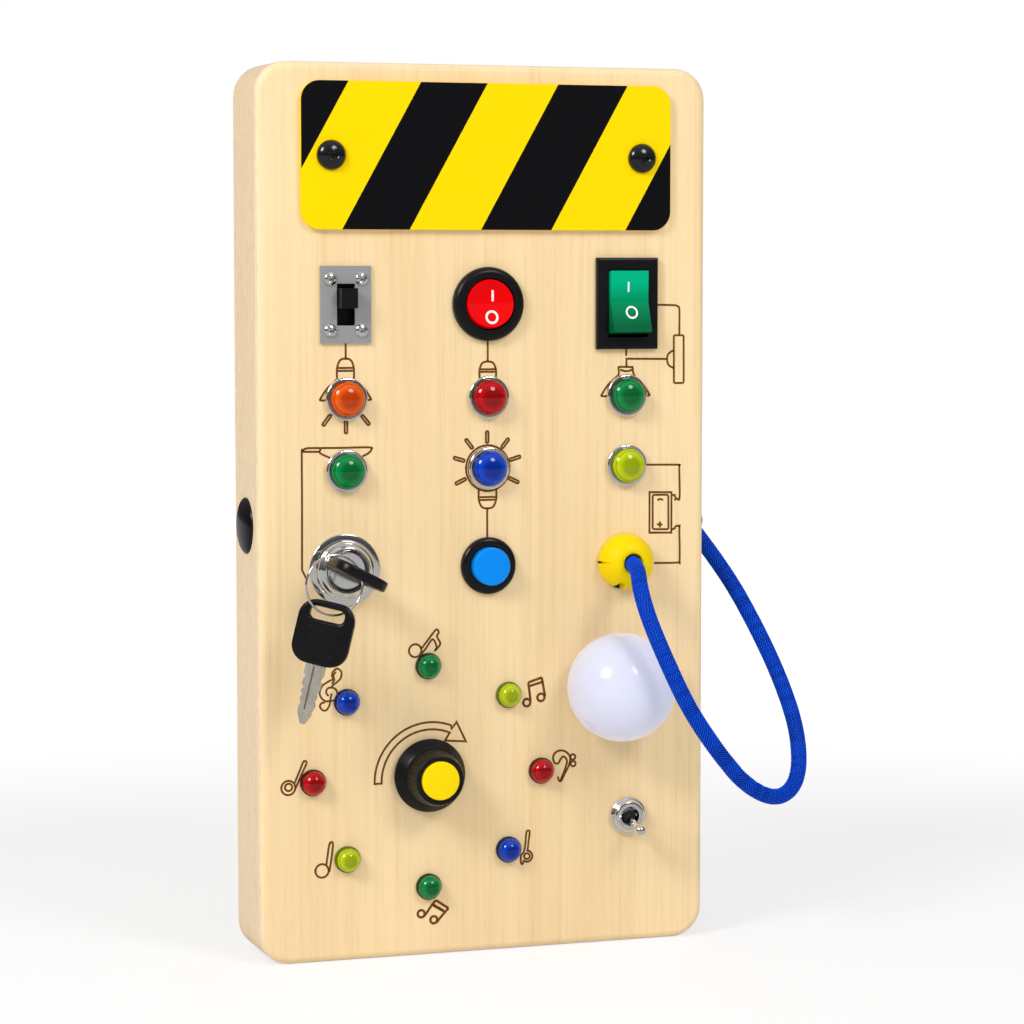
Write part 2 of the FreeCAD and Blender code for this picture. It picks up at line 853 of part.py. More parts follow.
def make_square_rocker():
    x, z = dim.right_column, dim.switch_row
    thick = dim.square_flange_thick
    housing = new_body("green_rocker_housing")
    pad(housing, rectangle(dim.square_flange_width, dim.square_flange_height), thick)
    round_edges(housing, dim.square_flange_round, in_front())
    pad(housing, rectangle(dim.square_body_width, dim.square_body_height),
        thick + dim.square_body_depth)
    opening = rectangle(dim.square_pocket_width, dim.square_pocket_height)
    pocket(housing, [opening], (), thick + dim.square_pocket_depth)
    place(housing, (x, -thick, z))
    pin_half = dim.square_pocket_width / 2 - dim.sliding_gap + dim.rocker_pin_reach
    hole = pivot_hole("green_rocker", (x, -dim.rocker_axis_depth, z), dim.rocker_pin, pin_half)
    label(cut("green_rocker_housing", housing, hole), "green_rocker_housing")

    front = -dim.square_rocker_front
    half, rear_half = dim.square_rocker_half, dim.square_rocker_rear_half
    points = [(front + dim.square_rocker_valley, 0), (front, half),
              (dim.square_rocker_rear, rear_half), (dim.square_rocker_rear, -rear_half),
              (front, -half)]
    width = dim.square_pocket_width - dim.sliding_gap * 2
    block = rocker_block("green_rocker", points, width)
    pin = pivot_pin("green_rocker", dim.rocker_pin, pin_half)
    rocker = fuse("green_rocker", [block, pin])
    place(rocker, (x, -dim.rocker_axis_depth, z), Vector(1, 0, 0), -dim.square_tilt)
    label(rocker, "green_rocker")


# Push button


def make_push_button():
    at = (dim.middle_column, dim.key_row)
    bore = dim.button_cap + dim.sliding_gap
    front = -dim.button_flange_thick
    points = [(bore, front), (dim.button_flange, front), (dim.button_flange, 0),
              (dim.button_barrel, 0), (dim.button_barrel, dim.button_barrel_depth),
              (0, dim.button_barrel_depth), (0, dim.button_bore_depth),
              (bore, dim.button_bore_depth)]
    housing = turned("push_button_housing", at, points,
                     [(dim.button_flange, front, dim.button_flange_round)])
    label(housing, "push_button_housing")

    reach = -dim.button_cap_reach
    points = [(0, reach), (dim.button_cap, reach), (dim.button_cap, dim.button_cap_rear),
              (0, dim.button_cap_rear)]
    cap = turned("push_button_cap", at, points, [(dim.button_cap, reach, dim.button_cap_round)])
    label(cap, "push_button_cap")
    make_button_spring()


def make_button_spring():
    """The coil between the cap and the floor of its bore, swept as one wire."""
    start = dim.button_cap_rear.number
    end = dim.button_bore_depth.number
    radius = dim.button_spring_radius.number
    wire = dim.button_spring_wire.number
    turns = dim.button_spring_turns.number
    length = end - start - 2 * wire
    helix = Part.makeHelix(length / turns, length, radius)
    section = Part.Wire(Part.makeCircle(wire, Vector(radius, 0, 0), Vector(0, 1, 0)))
    coil = Part.Wire(helix).makePipeShell([section], True, True)
    spring = doc.addObject("Part::Feature", "push_button_spring")
    spring.Shape = coil
    place(spring, (dim.middle_column, dim.button_cap_rear + dim.button_spring_wire, dim.key_row),
          Vector(1, 0, 0), -90)
    label(spring, "push_button_spring")


# Key lock and keys


def make_key_lock():
    at = (dim.key_column, dim.key_row)
    bore = dim.lock_plug + dim.running_gap
    front = -dim.lock_ring_height
    points = [(bore, front + dim.lock_recess), (dim.lock_ring_inner, front + dim.lock_recess),
              (dim.lock_ring_inner, front), (dim.lock_ring_front, front),
              (dim.lock_ring, -dim.lock_ring_shoulder), (dim.lock_ring, -dim.lock_washer_thick),
              (dim.lock_washer, -dim.lock_washer_thick), (dim.lock_washer, 0),
              (dim.lock_barrel, 0), (dim.lock_barrel, dim.lock_barrel_depth),
              (bore, dim.lock_barrel_depth)]
    label(turned("key_lock_housing", at, points), "key_lock_housing")

    front = -dim.lock_plug_front
    points = [(0, front), (dim.lock_plug, front), (dim.lock_plug, dim.lock_plug_rear),
              (0, dim.lock_plug_rear)]
    plug = turned("lock_cylinder", at, points)
    depth = dim.key_blade_length + dim.key_head_clear * 2
    slot = box("key_way", (dim.key_blade_width + dim.hole_gap * 2, depth,
                           dim.key_blade_thick + dim.hole_gap * 2),
               (at[0], front - dim.key_head_clear, at[1]))
    turn = Rotation(Vector(0, 1, 0), dim.key_turn.number)
    slot.Placement = Placement(slot.Placement.Base, turn)
    label(cut("lock_cylinder", plug, slot), "lock_cylinder")


def key_head(name):
    """A key's moulded head: X is its width, Z its length upwards, front at y = 0.

    The origin is the middle of the upper side of the slot that takes the ring."""
    body = new_body(name)
    top = dim.key_slot_strip
    middle = top - dim.key_head_length / 2
    pad(body, rectangle(dim.key_head_width, dim.key_head_length, 0, middle), dim.key_head_thick)
    round_edges(body, dim.key_head_corner, along_y)
    faces = [in_front(), in_front(dim.key_head_thick.number)]
    round_edges(body, dim.key_head_round, lambda edge: any(pick(edge) for pick in faces))
    slot = rectangle(dim.key_slot_width, dim.key_slot_height, 0, -dim.key_slot_height / 2)
    pocket(body, [slot])
    return body


def key_blade(name):
    """A key's steel blade, in the same frame as its head, ending in a point."""
    body = new_body(name)
    top = dim.key_slot_strip - dim.key_head_length
    half = dim.key_blade_width / 2
    tip = top - dim.key_blade_length
    shoulder = tip + dim.key_blade_tip
    points = [(-half, top), (-half, shoulder), (-half / 4, tip), (half / 4, tip),
              (half, shoulder), (half, top)]
    pad(body, points, dim.key_blade_thick)
    return body


def place_key(body, at, turn, thick):
    """Put a key piece with the middle of its thickness at a point, turned as asked."""
    back = turn.multVec(Vector(0, -0.5, 0))
    shift = [thick * back.x, thick * back.y, thick * back.z]
    base = [as_size(c) + s for c, s in zip(at, shift)]
    place(body, base)
    body.Placement = Placement(body.Placement.Base, turn)


def across_face(size, angle):
    """A length in the face's plane along a key turned by an angle: X and Z."""
    turn = math.radians(angle)
    return size * math.cos(turn), size * -math.sin(turn)


def make_inserted_key():
    turn = Rotation(Vector(0, 1, 0), dim.key_turn.number)
    turn = turn.multiply(Rotation(Vector(1, 0, 0), 90))
    reach = dim.lock_plug_front + dim.key_head_clear + dim.key_head_length - dim.key_slot_strip
    at = (dim.key_column, -reach, dim.key_row)
    head = key_head("inserted_key_head")
    place_key(head, at, turn, dim.key_head_thick)
    label(head, "inserted_key_head")
    blade = key_blade("inserted_key_blade")
    place_key(blade, at, turn, dim.key_blade_thick)
    label(blade, "inserted_key_blade")
    return at


def make_key_ring_and_spare(slot_place):
    """The ring goes through the slot of the key in the lock, and the spare hangs on it."""
    angle = dim.key_turn.number
    along_x, along_z = across_face(dim.ring_along, angle)
    below_x, below_z = across_face(dim.ring_below, angle + 90)
    centre = (slot_place[0] + along_x + below_x,
              slot_place[1] + dim.key_slot_height / 2 - dim.ring_out,
              slot_place[2] + along_z + below_z)
    ring = doc.addObject("Part::Torus", "key_ring")
    bind(ring, "Radius1", dim.ring_radius)
    bind(ring, "Radius2", dim.ring_wire)
    place(ring, centre)
    upright = Rotation(Vector(0, 0, 1), dim.ring_turn.number).multiply(Rotation(Vector(1, 0, 0), 90))
    ring.Placement = Placement(ring.Placement.Base, upright)
    label(ring, "key_ring")

    lean = math.radians(dim.spare_lean.number)
    skew = math.radians(dim.ring_turn.number)
    down = (-math.sin(lean) * math.cos(skew), -math.sin(lean) * math.sin(skew), -math.cos(lean))
    hook = [c + dim.ring_radius * d for c, d in zip(centre, down)]
    hang = (math.sin(lean), 0, math.cos(lean))
    at = [h + dim.spare_hang * u for h, u in zip(hook, hang)]
    turn = Rotation(Vector(0, 1, 0), dim.spare_lean.number)
    turn = turn.multiply(Rotation(Vector(0, 0, 1), dim.spare_turn.number))
    head = key_head("spare_key_head")
    place_key(head, at, turn, dim.key_head_thick)
    label(head, "spare_key_head")
    blade = key_blade("spare_key_blade")
    place_key(blade, at, turn, dim.key_blade_thick)
    label(blade, "spare_key_blade")
    print("ring centre", [round(c.number, 3) for c in centre])
    print("spare key hook", [round(c.number, 3) for c in hook])


# Rotary selector


def make_selector():
    at = (dim.selector_column, dim.selector_row)
    base = -dim.knob_face_gap
    front = -dim.knob_height
    seat = front + dim.knob_cap_seat
    bore = dim.knob_shaft_radius
    points = [(0, seat), (dim.knob_cap_radius, seat), (dim.knob_cap_radius, front),
              (dim.knob_front, front), (dim.knob_waist, -dim.knob_waist_height),
              (dim.knob_skirt, base - dim.knob_skirt_height), (dim.knob_skirt, base),
              (dim.knob_recess, base), (dim.knob_recess, base - dim.knob_recess_height),
              (bore, base - dim.knob_recess_height), (bore, -dim.knob_shaft_reach),
              (0, -dim.knob_shaft_reach)]
    label(turned("selector_knob", at, points), "selector_knob")

    proud = front - dim.knob_cap_proud
    points = [(0, proud), (dim.knob_cap_radius, proud), (dim.knob_cap_radius, seat), (0, seat)]
    label(turned("selector_knob_cap", at, points), "selector_knob_cap")

    shaft = cylinder_y("selector_shaft", (at[0], -dim.knob_shaft_reach, at[1]),
                       dim.knob_shaft_radius, dim.knob_shaft_reach + dim.knob_shaft_rear)
    label(shaft, "selector_shaft")

    bore = dim.knob_shaft_radius + dim.running_gap
    can_rear = dim.panel_thick + dim.selector_can_depth
    end = dim.knob_shaft_rear + dim.sliding_gap
    points = [(bore, -dim.selector_bush_reach), (dim.selector_bush, -dim.selector_bush_reach),
              (dim.selector_bush, dim.panel_thick), (dim.selector_can, dim.panel_thick),
              (dim.selector_can, can_rear), (0, can_rear), (0, end), (bore, end)]
    label(turned("selector_switch", at, points), "selector_switch")


# Ball lamp


def make_ball_lamp():
    x, z = dim.lamp_column, dim.ball_row
    outer = sphere("globe_outside", (x, -dim.globe_reach, z), dim.globe_radius)
    inner = sphere("globe_inside", (x, -dim.globe_reach, z), dim.globe_radius - dim.globe_wall)
    behind = box("globe_behind", (dim.globe_radius * 3, dim.globe_radius * 2, dim.globe_radius * 3),
                 (x, -dim.lamp_flange_thick, z))
    label(cut("lamp_globe", outer, fuse("globe_waste", [inner, behind])), "lamp_globe")

    at = (x, z)
    points = [(0, -dim.lamp_flange_thick), (dim.lamp_flange, -dim.lamp_flange_thick),
              (dim.lamp_flange, 0), (dim.lamp_barrel, 0), (dim.lamp_barrel, dim.lamp_barrel_depth),
              (0, dim.lamp_barrel_depth)]
    label(turned("lamp_base", at, points), "lamp_base")

    front = -dim.lamp_flange_thick - dim.lamp_diode_height
    points = [(0, front), (dim.lamp_diode, front), (dim.lamp_diode, -dim.lamp_flange_thick),
              (0, -dim.lamp_flange_thick)]
    diode = turned("lamp_diode", at, points, [(dim.lamp_diode, front, dim.lamp_diode * 0.8)])
    label(diode, "lamp_diode")


# Toggle switch


def make_toggle():
    x, z = dim.toggle_column, dim.toggle_row
    height = dim.toggle_ring_height
    points = [(dim.toggle_bush, 0), (dim.toggle_bush, -height), (dim.toggle_ring_shoulder, -height),
              (dim.toggle_ring, -height / 3), (dim.toggle_ring, 0)]
    label(turned("toggle_ring_nut", (x, z), points), "toggle_ring_nut")

    block = box("toggle_block", (dim.toggle_body_width, dim.toggle_body_depth,
                                 dim.toggle_body_height), (x, dim.panel_thick, z))
    bush = cylinder_y("toggle_bush", (x, -height, z), dim.toggle_bush, height + dim.panel_thick)
    bore = cylinder_y("toggle_bore", (x, -height, z), dim.toggle_bore,
                      height + dim.toggle_bore_depth)
    hole = pivot_hole("toggle", (x, dim.toggle_axis_depth, z), dim.toggle_pin, dim.toggle_pin_half)
    hollow = fuse("toggle_hollow", [bore, hole])
    label(cut("toggle_body", fuse("toggle_outside", [block, bush]), hollow), "toggle_body")

    reach = dim.toggle_lever_reach - dim.toggle_tip
    rod = cylinder_y("toggle_rod", (0, -reach, 0), dim.toggle_lever, reach)
    root = sphere("toggle_root", (0, 0, 0), dim.toggle_ball)
    tip = sphere("toggle_tip", (0, -reach, 0), dim.toggle_tip)
    pin = pivot_pin("toggle", dim.toggle_pin, dim.toggle_pin_half)
    lever = fuse("toggle_lever", [rod, root, tip, pin])
    place(lever, (x, dim.toggle_axis_depth, z), Vector(1, 0, 0), dim.toggle_tilt)
    label(lever, "toggle_lever")


# Plug, socket and cord


def make_plug():
    at = (dim.plug_column, dim.key_row)
    flange = -dim.socket_flange_thick
    bore = dim.plug_pin + dim.running_gap
    rear = flange - dim.sliding_gap
    pin_end = rear + dim.plug_pin_length
    points = [(bore, flange), (dim.socket_flange, flange), (dim.socket_flange, 0),
              (dim.socket_barrel, 0), (dim.socket_barrel, dim.socket_depth),
              (0, dim.socket_depth), (0, pin_end + dim.sliding_gap),
              (bore, pin_end + dim.sliding_gap)]
    label(turned("plug_socket", at, points), "plug_socket")

    front = rear - dim.plug_head_height
    floor = front + dim.plug_cord_hole_depth
    points = [(0, floor), (dim.plug_cord_hole, floor), (dim.plug_cord_hole, front),
              (dim.plug_head, front), (dim.plug_head, rear), (0, rear)]
    rounds = [(dim.plug_head, front, dim.plug_head_round),
              (dim.plug_head, rear, dim.plug_head_rear_round)]
    label(turned("plug_head", at, points, rounds), "plug_head")

    pin = cylinder_y("plug_pin", (at[0], rear, at[1]), dim.plug_pin, dim.plug_pin_length)
    label(pin, "plug_pin")


def cord_path(points):
    """Straight runs joined by tangent arcs, each as large as its two runs allow."""
    points = [Vector(*p) for p in points]
    edges = []
    radii = []
    start = points[0]
    for before, corner, after in zip(points, points[1:], points[2:]):
        back = (before - corner).normalize()
        ahead = (after - corner).normalize()
        half_turn = (math.pi - back.getAngle(ahead)) / 2
        shorter = min((before - corner).Length, (after - corner).Length)
        reach = 0.45 * shorter
        radii.append(reach / math.tan(half_turn))
        first = corner + back * reach
        last = corner + ahead * reach
        inward = (back + ahead).normalize()
        middle = corner + inward * (radii[-1] / math.cos(half_turn) - radii[-1])
        edges.append(Part.LineSegment(start, first).toShape())
        edges.append(Part.Arc(first, middle, last).toShape())
        start = last
    edges.append(Part.LineSegment(start, points[-1]).toShape())
    return Part.Wire(edges), radii


def make_cord():
    path, radii = cord_path(CORD_ROUTE)
    radius = dim.cord_radius.number
    start = Vector(*CORD_ROUTE[0])
    heading = Vector(*CORD_ROUTE[1]) - start
    section = Part.Wire(Part.makeCircle(radius, start, heading))
    tube = path.makePipeShell([section], True, False)
    cord = doc.addObject("Part::Feature", "cord")
    cord.Shape = tube
    label(cord, "cord")
    print("cord length", round(path.Length, 2), "mm, radii", [round(r, 1) for r in radii])
    print("cord volume over section times length",
          round(tube.Volume / (math.pi * radius ** 2 * path.Length), 5))


def make_grommet():
    dome = doc.addObject("Part::Sphere", "grommet_dome")
    dome.Angle1 = 0
    bind(dome, "Radius", dim.grommet_radius)
    place(dome, (side_wall, wall_middle, dim.grommet_height), Vector(0, 1, 0), 90)
    tail = cylinder_x("grommet_tail", (side_wall - dim.grommet_tail_length, wall_middle,
                                       dim.grommet_height), dim.grommet_tail,
                      dim.grommet_tail_length)
    label(fuse("cord_grommet", [dome, tail]), "cord_grommet")


def make_side_cap():
    points = [(0, -dim.cap_thick), (dim.cap_radius, -dim.cap_thick), (dim.cap_radius, 0),
              (dim.cap_tail, 0), (dim.cap_tail, dim.cap_tail_length), (0, dim.cap_tail_length)]
    cap = turned("side_cap", (0, 0), points, [(dim.cap_radius, -dim.cap_thick, dim.cap_round)])
    place(cap, (-side_wall, wall_middle, dim.cap_height), Vector(0, 0, 1), -90)
    label(cap, "side_cap")


# Indicator lamps


def make_big_lamps():
    bezels = []
    for number, at in enumerate(big_lamp_places):
        points = [(dim.lens_radius, -dim.bezel_height), (dim.bezel_outer, -dim.bezel_height),
                  (dim.bezel_outer, 0), (dim.bezel_barrel, 0), (dim.bezel_barrel, dim.bezel_depth),
                  (dim.lens_radius, dim.bezel_depth)]
        rounds = [(dim.bezel_outer, -dim.bezel_height, dim.bezel_round)]
        bezels.append(turned("bezel_%d" % number, at, points, rounds))
    label(group("indicator_bezels", bezels), "indicator_bezels")
    for colour, places in big_lamps.items():
        lenses = []
        for number, at in enumerate(places):
            points = [(0, -dim.lens_reach), (dim.lens_radius, -dim.lens_reach),
                      (dim.lens_radius, dim.lens_rear), (0, dim.lens_rear)]
            rounds = [(dim.lens_radius, -dim.lens_reach, dim.lens_round)]
            lenses.append(turned("%s_lens_%d" % (colour, number), at, points, rounds))
        label(group("%s_lens" % colour, lenses), "%s_lens" % colour)


def make_small_lamps():
    lamps = {colour: [] for colour in SMALL_LAMP_COLOURS}
    for number, at in enumerate(small_lamp_places):
        colour = SMALL_LAMP_COLOURS[number % 4]
        points = [(0, -dim.small_lamp_reach), (dim.small_lamp, -dim.small_lamp_reach),
                  (dim.small_lamp, -dim.small_lamp_collar_height),
                  (dim.small_lamp_collar, -dim.small_lamp_collar_height),
                  (dim.small_lamp_collar, 0), (dim.small_lamp, 0),
                  (dim.small_lamp, dim.small_lamp_rear), (0, dim.small_lamp_rear)]
        rounds = [(dim.small_lamp, -dim.small_lamp_reach, dim.small_lamp_round)]
        lamps[colour].append(turned("small_lamp_%d" % number, at, points, rounds))
    for colour, pieces in lamps.items():
        label(group("%s_small_lamps" % colour, pieces), "%s_small_lamps" % colour)


# Nuts


def nut(name, at, level, bore, rim, thick):
    block = doc.addObject("Part::Prism", name + "_block")
    block.Polygon = 6
    bind(block, "Circumradius", (bore + rim) / math.cos(math.pi / 6))
    bind(block, "Height", thick)
    place(block, (at[0], level, at[1]), Vector(1, 0, 0), -90)
    return cut(name, block, cylinder_y(name + "_bore", (at[0], level, at[1]), bore, thick))


def make_nuts():
    behind = dim.panel_thick
    pieces = [
        nut("lock_nut", (dim.key_column, dim.key_row), behind, dim.lock_barrel,
            dim.nut_rim, dim.nut_thick),
        nut("button_nut", (dim.middle_column, dim.key_row), behind, dim.button_barrel,
            dim.nut_rim, dim.nut_thick),
        nut("socket_nut", (dim.plug_column, dim.key_row), behind, dim.socket_barrel,
            dim.nut_rim, dim.nut_thick),
        nut("lamp_nut", (dim.lamp_column, dim.ball_row), behind, dim.lamp_barrel,
            dim.nut_rim, dim.nut_thick),
        nut("selector_nut", (dim.selector_column, dim.selector_row), -dim.selector_nut_thick,
            dim.selector_bush, dim.selector_nut_rim, dim.selector_nut_thick),
    ]
    label(group("panel_nuts", pieces), "panel_nuts")
    nuts = [nut("indicator_nut_%d" % number, at, behind, dim.bezel_barrel, dim.nut_rim, dim.nut_thick)
            for number, at in enumerate(big_lamp_places)]
    label(group("indicator_nuts", nuts), "indicator_nuts")


# Battery box


def make_battery_box():
    bay_length = dim.battery_length + dim.contact_thick * 2 + dim.bay_gap * 2
    bay_height = dim.battery_pitch + dim.battery_radius * 2 + dim.bay_gap * 2
    front = inside_rear - dim.holder_depth
    holder = box("battery_holder", (bay_length + dim.holder_end_wall * 2, dim.holder_depth,
                                    bay_height + dim.holder_side_wall * 2),
                 (0, front, dim.battery_row))
    bay = box("battery_bay", (bay_length, dim.holder_depth, bay_height),
              (0, front + dim.holder_floor, dim.battery_row))
    tools = [bay]
    bite = dim.cover_screw_length - dim.back_thick
    for number, (x, z) in enumerate(cover_screw_places):
        tools.append(cylinder_y("holder_pilot_%d" % number, (x, inside_rear - bite, z),
                                dim.cover_screw_radius, bite + 1))
    label(cut("battery_holder", holder, fuse("holder_waste", tools)), "battery_holder")

    middle = front + dim.holder_floor + dim.running_gap + dim.battery_radius
    cells = []
    contacts = []
    for side in (-1, 1):
        z = dim.battery_row + dim.battery_pitch / 2 * side
        cells.append(cylinder_x("battery_%d" % side, (-dim.battery_length / 2, middle, z),
                                dim.battery_radius, dim.battery_length))
        for end in (-1, 1):
            x = (bay_length / 2 - dim.contact_thick / 2) * end
            contacts.append(box("contact_%d_%d" % (side, end),
                                (dim.contact_thick, dim.contact_side, dim.contact_side),
                                (x, middle - dim.contact_side / 2, z)))
    label(group("batteries", cells), "batteries")
    label(group("battery_contacts", contacts), "battery_contacts")

    cover = new_body("battery_cover")
    pad(cover, rectangle(dim.cover_width, dim.cover_height), dim.back_thick)
    holes = [(x, 0, dim.cover_screw_radius) for x, z in cover_screw_places]
    pocket(cover, (), holes)
    place(cover, (0, inside_rear, dim.battery_row))
    sinks = []
    screws = []
    for number, (x, z) in enumerate(cover_screw_places):
        for name, pieces in (("cover_sink", sinks), ("cover_screw_head", screws)):
            pieces.append(countersink("%s_%d" % (name, number), x, z, dim.cover_screw_radius,
                                      dim.cover_screw_head, dim.cover_screw_head_depth))
        shank = cylinder_y("cover_screw_shank_%d" % number,
                           (x, board_depth - dim.cover_screw_length, z), dim.cover_screw_radius,
                           dim.cover_screw_length - dim.cover_screw_head_depth)
        screws[-1] = fuse("cover_screw_%d" % number, [screws[-1], shank])
    label(cut("battery_cover", cover, fuse("cover_sinks", sinks)), "battery_cover")
    label(group("battery_cover_screws", screws), "battery_cover_screws")


# Circuit board


def make_circuit_board():
    rear = inside_rear - dim.spacer_length
    front = rear - dim.circuit_thick
    board = box("circuit_board", (dim.circuit_width, dim.circuit_thick, dim.circuit_height),
                (dim.circuit_column, front, dim.circuit_row))
    holes = [(x - dim.circuit_column, z - dim.circuit_row, dim.spacer_screw)
             for x, z in spacer_places]
    pocket(board, (), holes)
    label(board, "circuit_board")
    spacers = []
    screws = []
    for number, at in enumerate(spacer_places):
        points = tube_profile(dim.spacer_screw, dim.spacer_radius, rear, inside_rear)
        spacers.append(turned("spacer_%d" % number, at, points))
        head = front - dim.spacer_screw_head_height
        tip = inside_rear + dim.spacer_screw_bite
        points = [(0, head), (dim.spacer_screw_head, head), (dim.spacer_screw_head, front),
                  (dim.spacer_screw, front), (dim.spacer_screw, tip), (0, tip)]
        screws.append(turned("spacer_screw_%d" % number, at, points))
    label(group("circuit_spacers", spacers), "circuit_spacers")
    label(group("circuit_screws", screws), "circuit_screws")


def check_document():
    """Stop before anything is written if an object failed or a piece is not a sound solid."""
    faults = []
    for obj in doc.Objects:
        if "Invalid" in obj.State or "Error" in obj.State:
            faults.append("%s is %s" % (obj.Name, obj.State))
    for name, obj in nodes.items():
        if obj.Shape.isNull() or not obj.Shape.isValid() or not obj.Shape.Solids:
            faults.append("%s has no sound shape" % name)
    if faults:
        raise RuntimeError("; ".join(faults))


def main():
    make_front_panel()
    make_side_frame()
    make_back_panel()
    make_back_screws()
    make_hazard_plate()
    make_plate_screws()
    make_slide_switch()
    make_round_rocker()
    make_square_rocker()
    make_push_button()
    make_key_lock()
    make_key_ring_and_spare(make_inserted_key())
    make_selector()
    make_ball_lamp()
    make_toggle()
    make_plug()
    make_cord()
    make_grommet()
    make_side_cap()
    make_big_lamps()
    make_small_lamps()
    make_nuts()
    make_battery_box()
    make_circuit_board()
    doc.recompute()
    check_document()
    os.makedirs("parts", exist_ok=True)
    for name, obj in nodes.items():
        obj.Shape.exportStep("parts/%s.step" % name)
    print(len(nodes), "pieces written")


main()
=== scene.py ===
"""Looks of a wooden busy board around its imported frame. Lengths are millimetres until a mesh is made."""

import json
import math

import bpy
from mathutils import Matrix, Vector
from mathutils.geometry import interpolate_bezier


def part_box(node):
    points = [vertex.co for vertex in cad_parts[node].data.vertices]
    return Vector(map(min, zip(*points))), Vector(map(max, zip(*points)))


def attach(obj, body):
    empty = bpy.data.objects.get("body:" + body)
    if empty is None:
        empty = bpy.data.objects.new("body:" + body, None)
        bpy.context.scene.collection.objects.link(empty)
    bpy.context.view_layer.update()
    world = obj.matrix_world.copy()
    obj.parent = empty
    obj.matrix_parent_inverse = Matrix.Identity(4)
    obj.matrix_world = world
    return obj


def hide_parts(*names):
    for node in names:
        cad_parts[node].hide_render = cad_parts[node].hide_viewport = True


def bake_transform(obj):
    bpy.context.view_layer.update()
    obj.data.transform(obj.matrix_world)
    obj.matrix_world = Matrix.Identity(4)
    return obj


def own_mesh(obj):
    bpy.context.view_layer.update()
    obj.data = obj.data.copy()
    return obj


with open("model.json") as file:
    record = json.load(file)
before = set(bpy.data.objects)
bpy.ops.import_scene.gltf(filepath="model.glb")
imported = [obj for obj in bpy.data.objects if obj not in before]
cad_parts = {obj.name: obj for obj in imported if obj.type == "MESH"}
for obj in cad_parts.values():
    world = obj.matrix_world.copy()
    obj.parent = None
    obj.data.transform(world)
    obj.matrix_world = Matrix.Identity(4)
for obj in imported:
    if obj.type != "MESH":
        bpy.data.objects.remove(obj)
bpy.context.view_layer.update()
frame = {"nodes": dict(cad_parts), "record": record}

MM = 0.001
NODES = frame["nodes"]
BODY_OF = {node: body for body, names in frame["record"]["behaviour"]["bodies"].items() for node in names}
SLOT_OF = {part["node"]: part["material_slot"] for part in frame["record"]["subparts"]}

# Camera, fitted to the board's straight edges in the photograph
CAMERA_PLACE = (-0.31864, -0.96075, 0.21921)
CAMERA_YAW = -18.81
CAMERA_PITCH = 4.41
CAMERA_LENS = 112.5
CAMERA_SENSOR = 36

# Line work on the face: how far it stands out and goes in, and how wide it is
FACE = 0.0
ART_RISE = 0.04
ART_SINK = 0.03
ART_WIDTH = 0.66
THICK_ART = 0.8
THIN_ART = 0.62

# Rays that look for a CAD surface start this far in front, in metres, and a length below TINY is none
RAY_START = -0.1
TINY = 1e-6

# Places shared by several pieces: column and row on the face
KEY_PLACE = (-46.8, 124.1)
PLUG_PLACE = (46.7, 124.1)
SELECTOR_PLACE = (-19.5, 58.1)
BIG_LAMPS = {"orange_lens": [(-46.2, 177.6)], "red_lens": [(0.5, 177.6)],
             "green_lens": [(47.2, 177.6), (-46.2, 155.1)],
             "blue_lens": [(0.5, 155.1)], "lime_lens": [(47.2, 155.1)]}
SMALL_RING_CENTRE = (-19.5, 57.5)
SMALL_RING_HALF = (37.9, 35.3)
SMALL_RING_COLOURS = ["red", "lime", "green", "blue"]

# The cord's route from the side wall to the plug
CORD_ROUTE = [
    (77.2, 15.0, 132.0), (86.8, 13.2, 119.4), (95.6, 9.6, 103.0), (102.9, 3.2, 84.2),
    (106.3, -4.6, 66.6), (103.0, -13.4, 51.9), (92.0, -21.6, 47.0), (78.0, -28.0, 53.4),
    (65.4, -33.6, 66.4), (54.4, -37.0, 80.8), (47.2, -36.2, 96.0), (43.5, -30.6, 108.6),
    (43.2, -23.4, 117.8), (45.6, -15.4, 123.6), (46.7, -6.7, 124.1)]
CORD_RADIUS = 2.6


# Camera and cord centre line


def make_camera():
    data = bpy.data.cameras.new("camera")
    data.lens = CAMERA_LENS
    data.sensor_width = CAMERA_SENSOR
    camera = bpy.data.objects.new("camera", data)
    bpy.context.scene.collection.objects.link(camera)
    camera.location = CAMERA_PLACE
    camera.rotation_euler = (math.radians(90 - CAMERA_PITCH), 0, math.radians(CAMERA_YAW))
    bpy.context.scene.camera = camera

def curve_mesh(curve):
    """Points in metres and faces of a curve, which is used up."""
    holder = bpy.data.objects.new(curve.name, curve)
    bpy.context.scene.collection.objects.link(holder)
    mesh = bpy.data.meshes.new_from_object(holder.evaluated_get(bpy.context.evaluated_depsgraph_get()))
    points = [v.co.copy() for v in mesh.vertices]
    faces = [list(face.vertices) for face in mesh.polygons]
    bpy.data.objects.remove(holder)
    bpy.data.meshes.remove(mesh)
    return points, faces


def centre_line(route, steps=24):
    """Points in metres along the NURBS spline that has the route as its control points."""
    data = bpy.data.curves.new("route", "CURVE")
    data.dimensions = "3D"
    data.resolution_u = steps
    spline = data.splines.new("NURBS")
    spline.points.add(len(route) - 1)
    for point, (x, y, z) in zip(spline.points, route):
        point.co = (x * MM, y * MM, z * MM, 1)
    spline.order_u = 3
    spline.use_endpoint_u = True
    return curve_mesh(data)[0]


# Node materials

# Where a Mix node keeps its two colours and the mixed one
MIX_COLOURS = slice(6, 8)
MIX_RESULT = 2


def linked(tree, kind, *sources, **values):
    """A new shader node. Its first inputs take the sources: sockets, plain values or None to skip one."""
    node = tree.nodes.new("ShaderNode" + kind)
    for key, value in values.items():
        setattr(node, key, value)
    for socket, source in zip(node.inputs, sources):
        if isinstance(source, bpy.types.NodeSocket):
            tree.links.new(source, socket)
        elif source is not None:
            socket.default_value = source
    return node


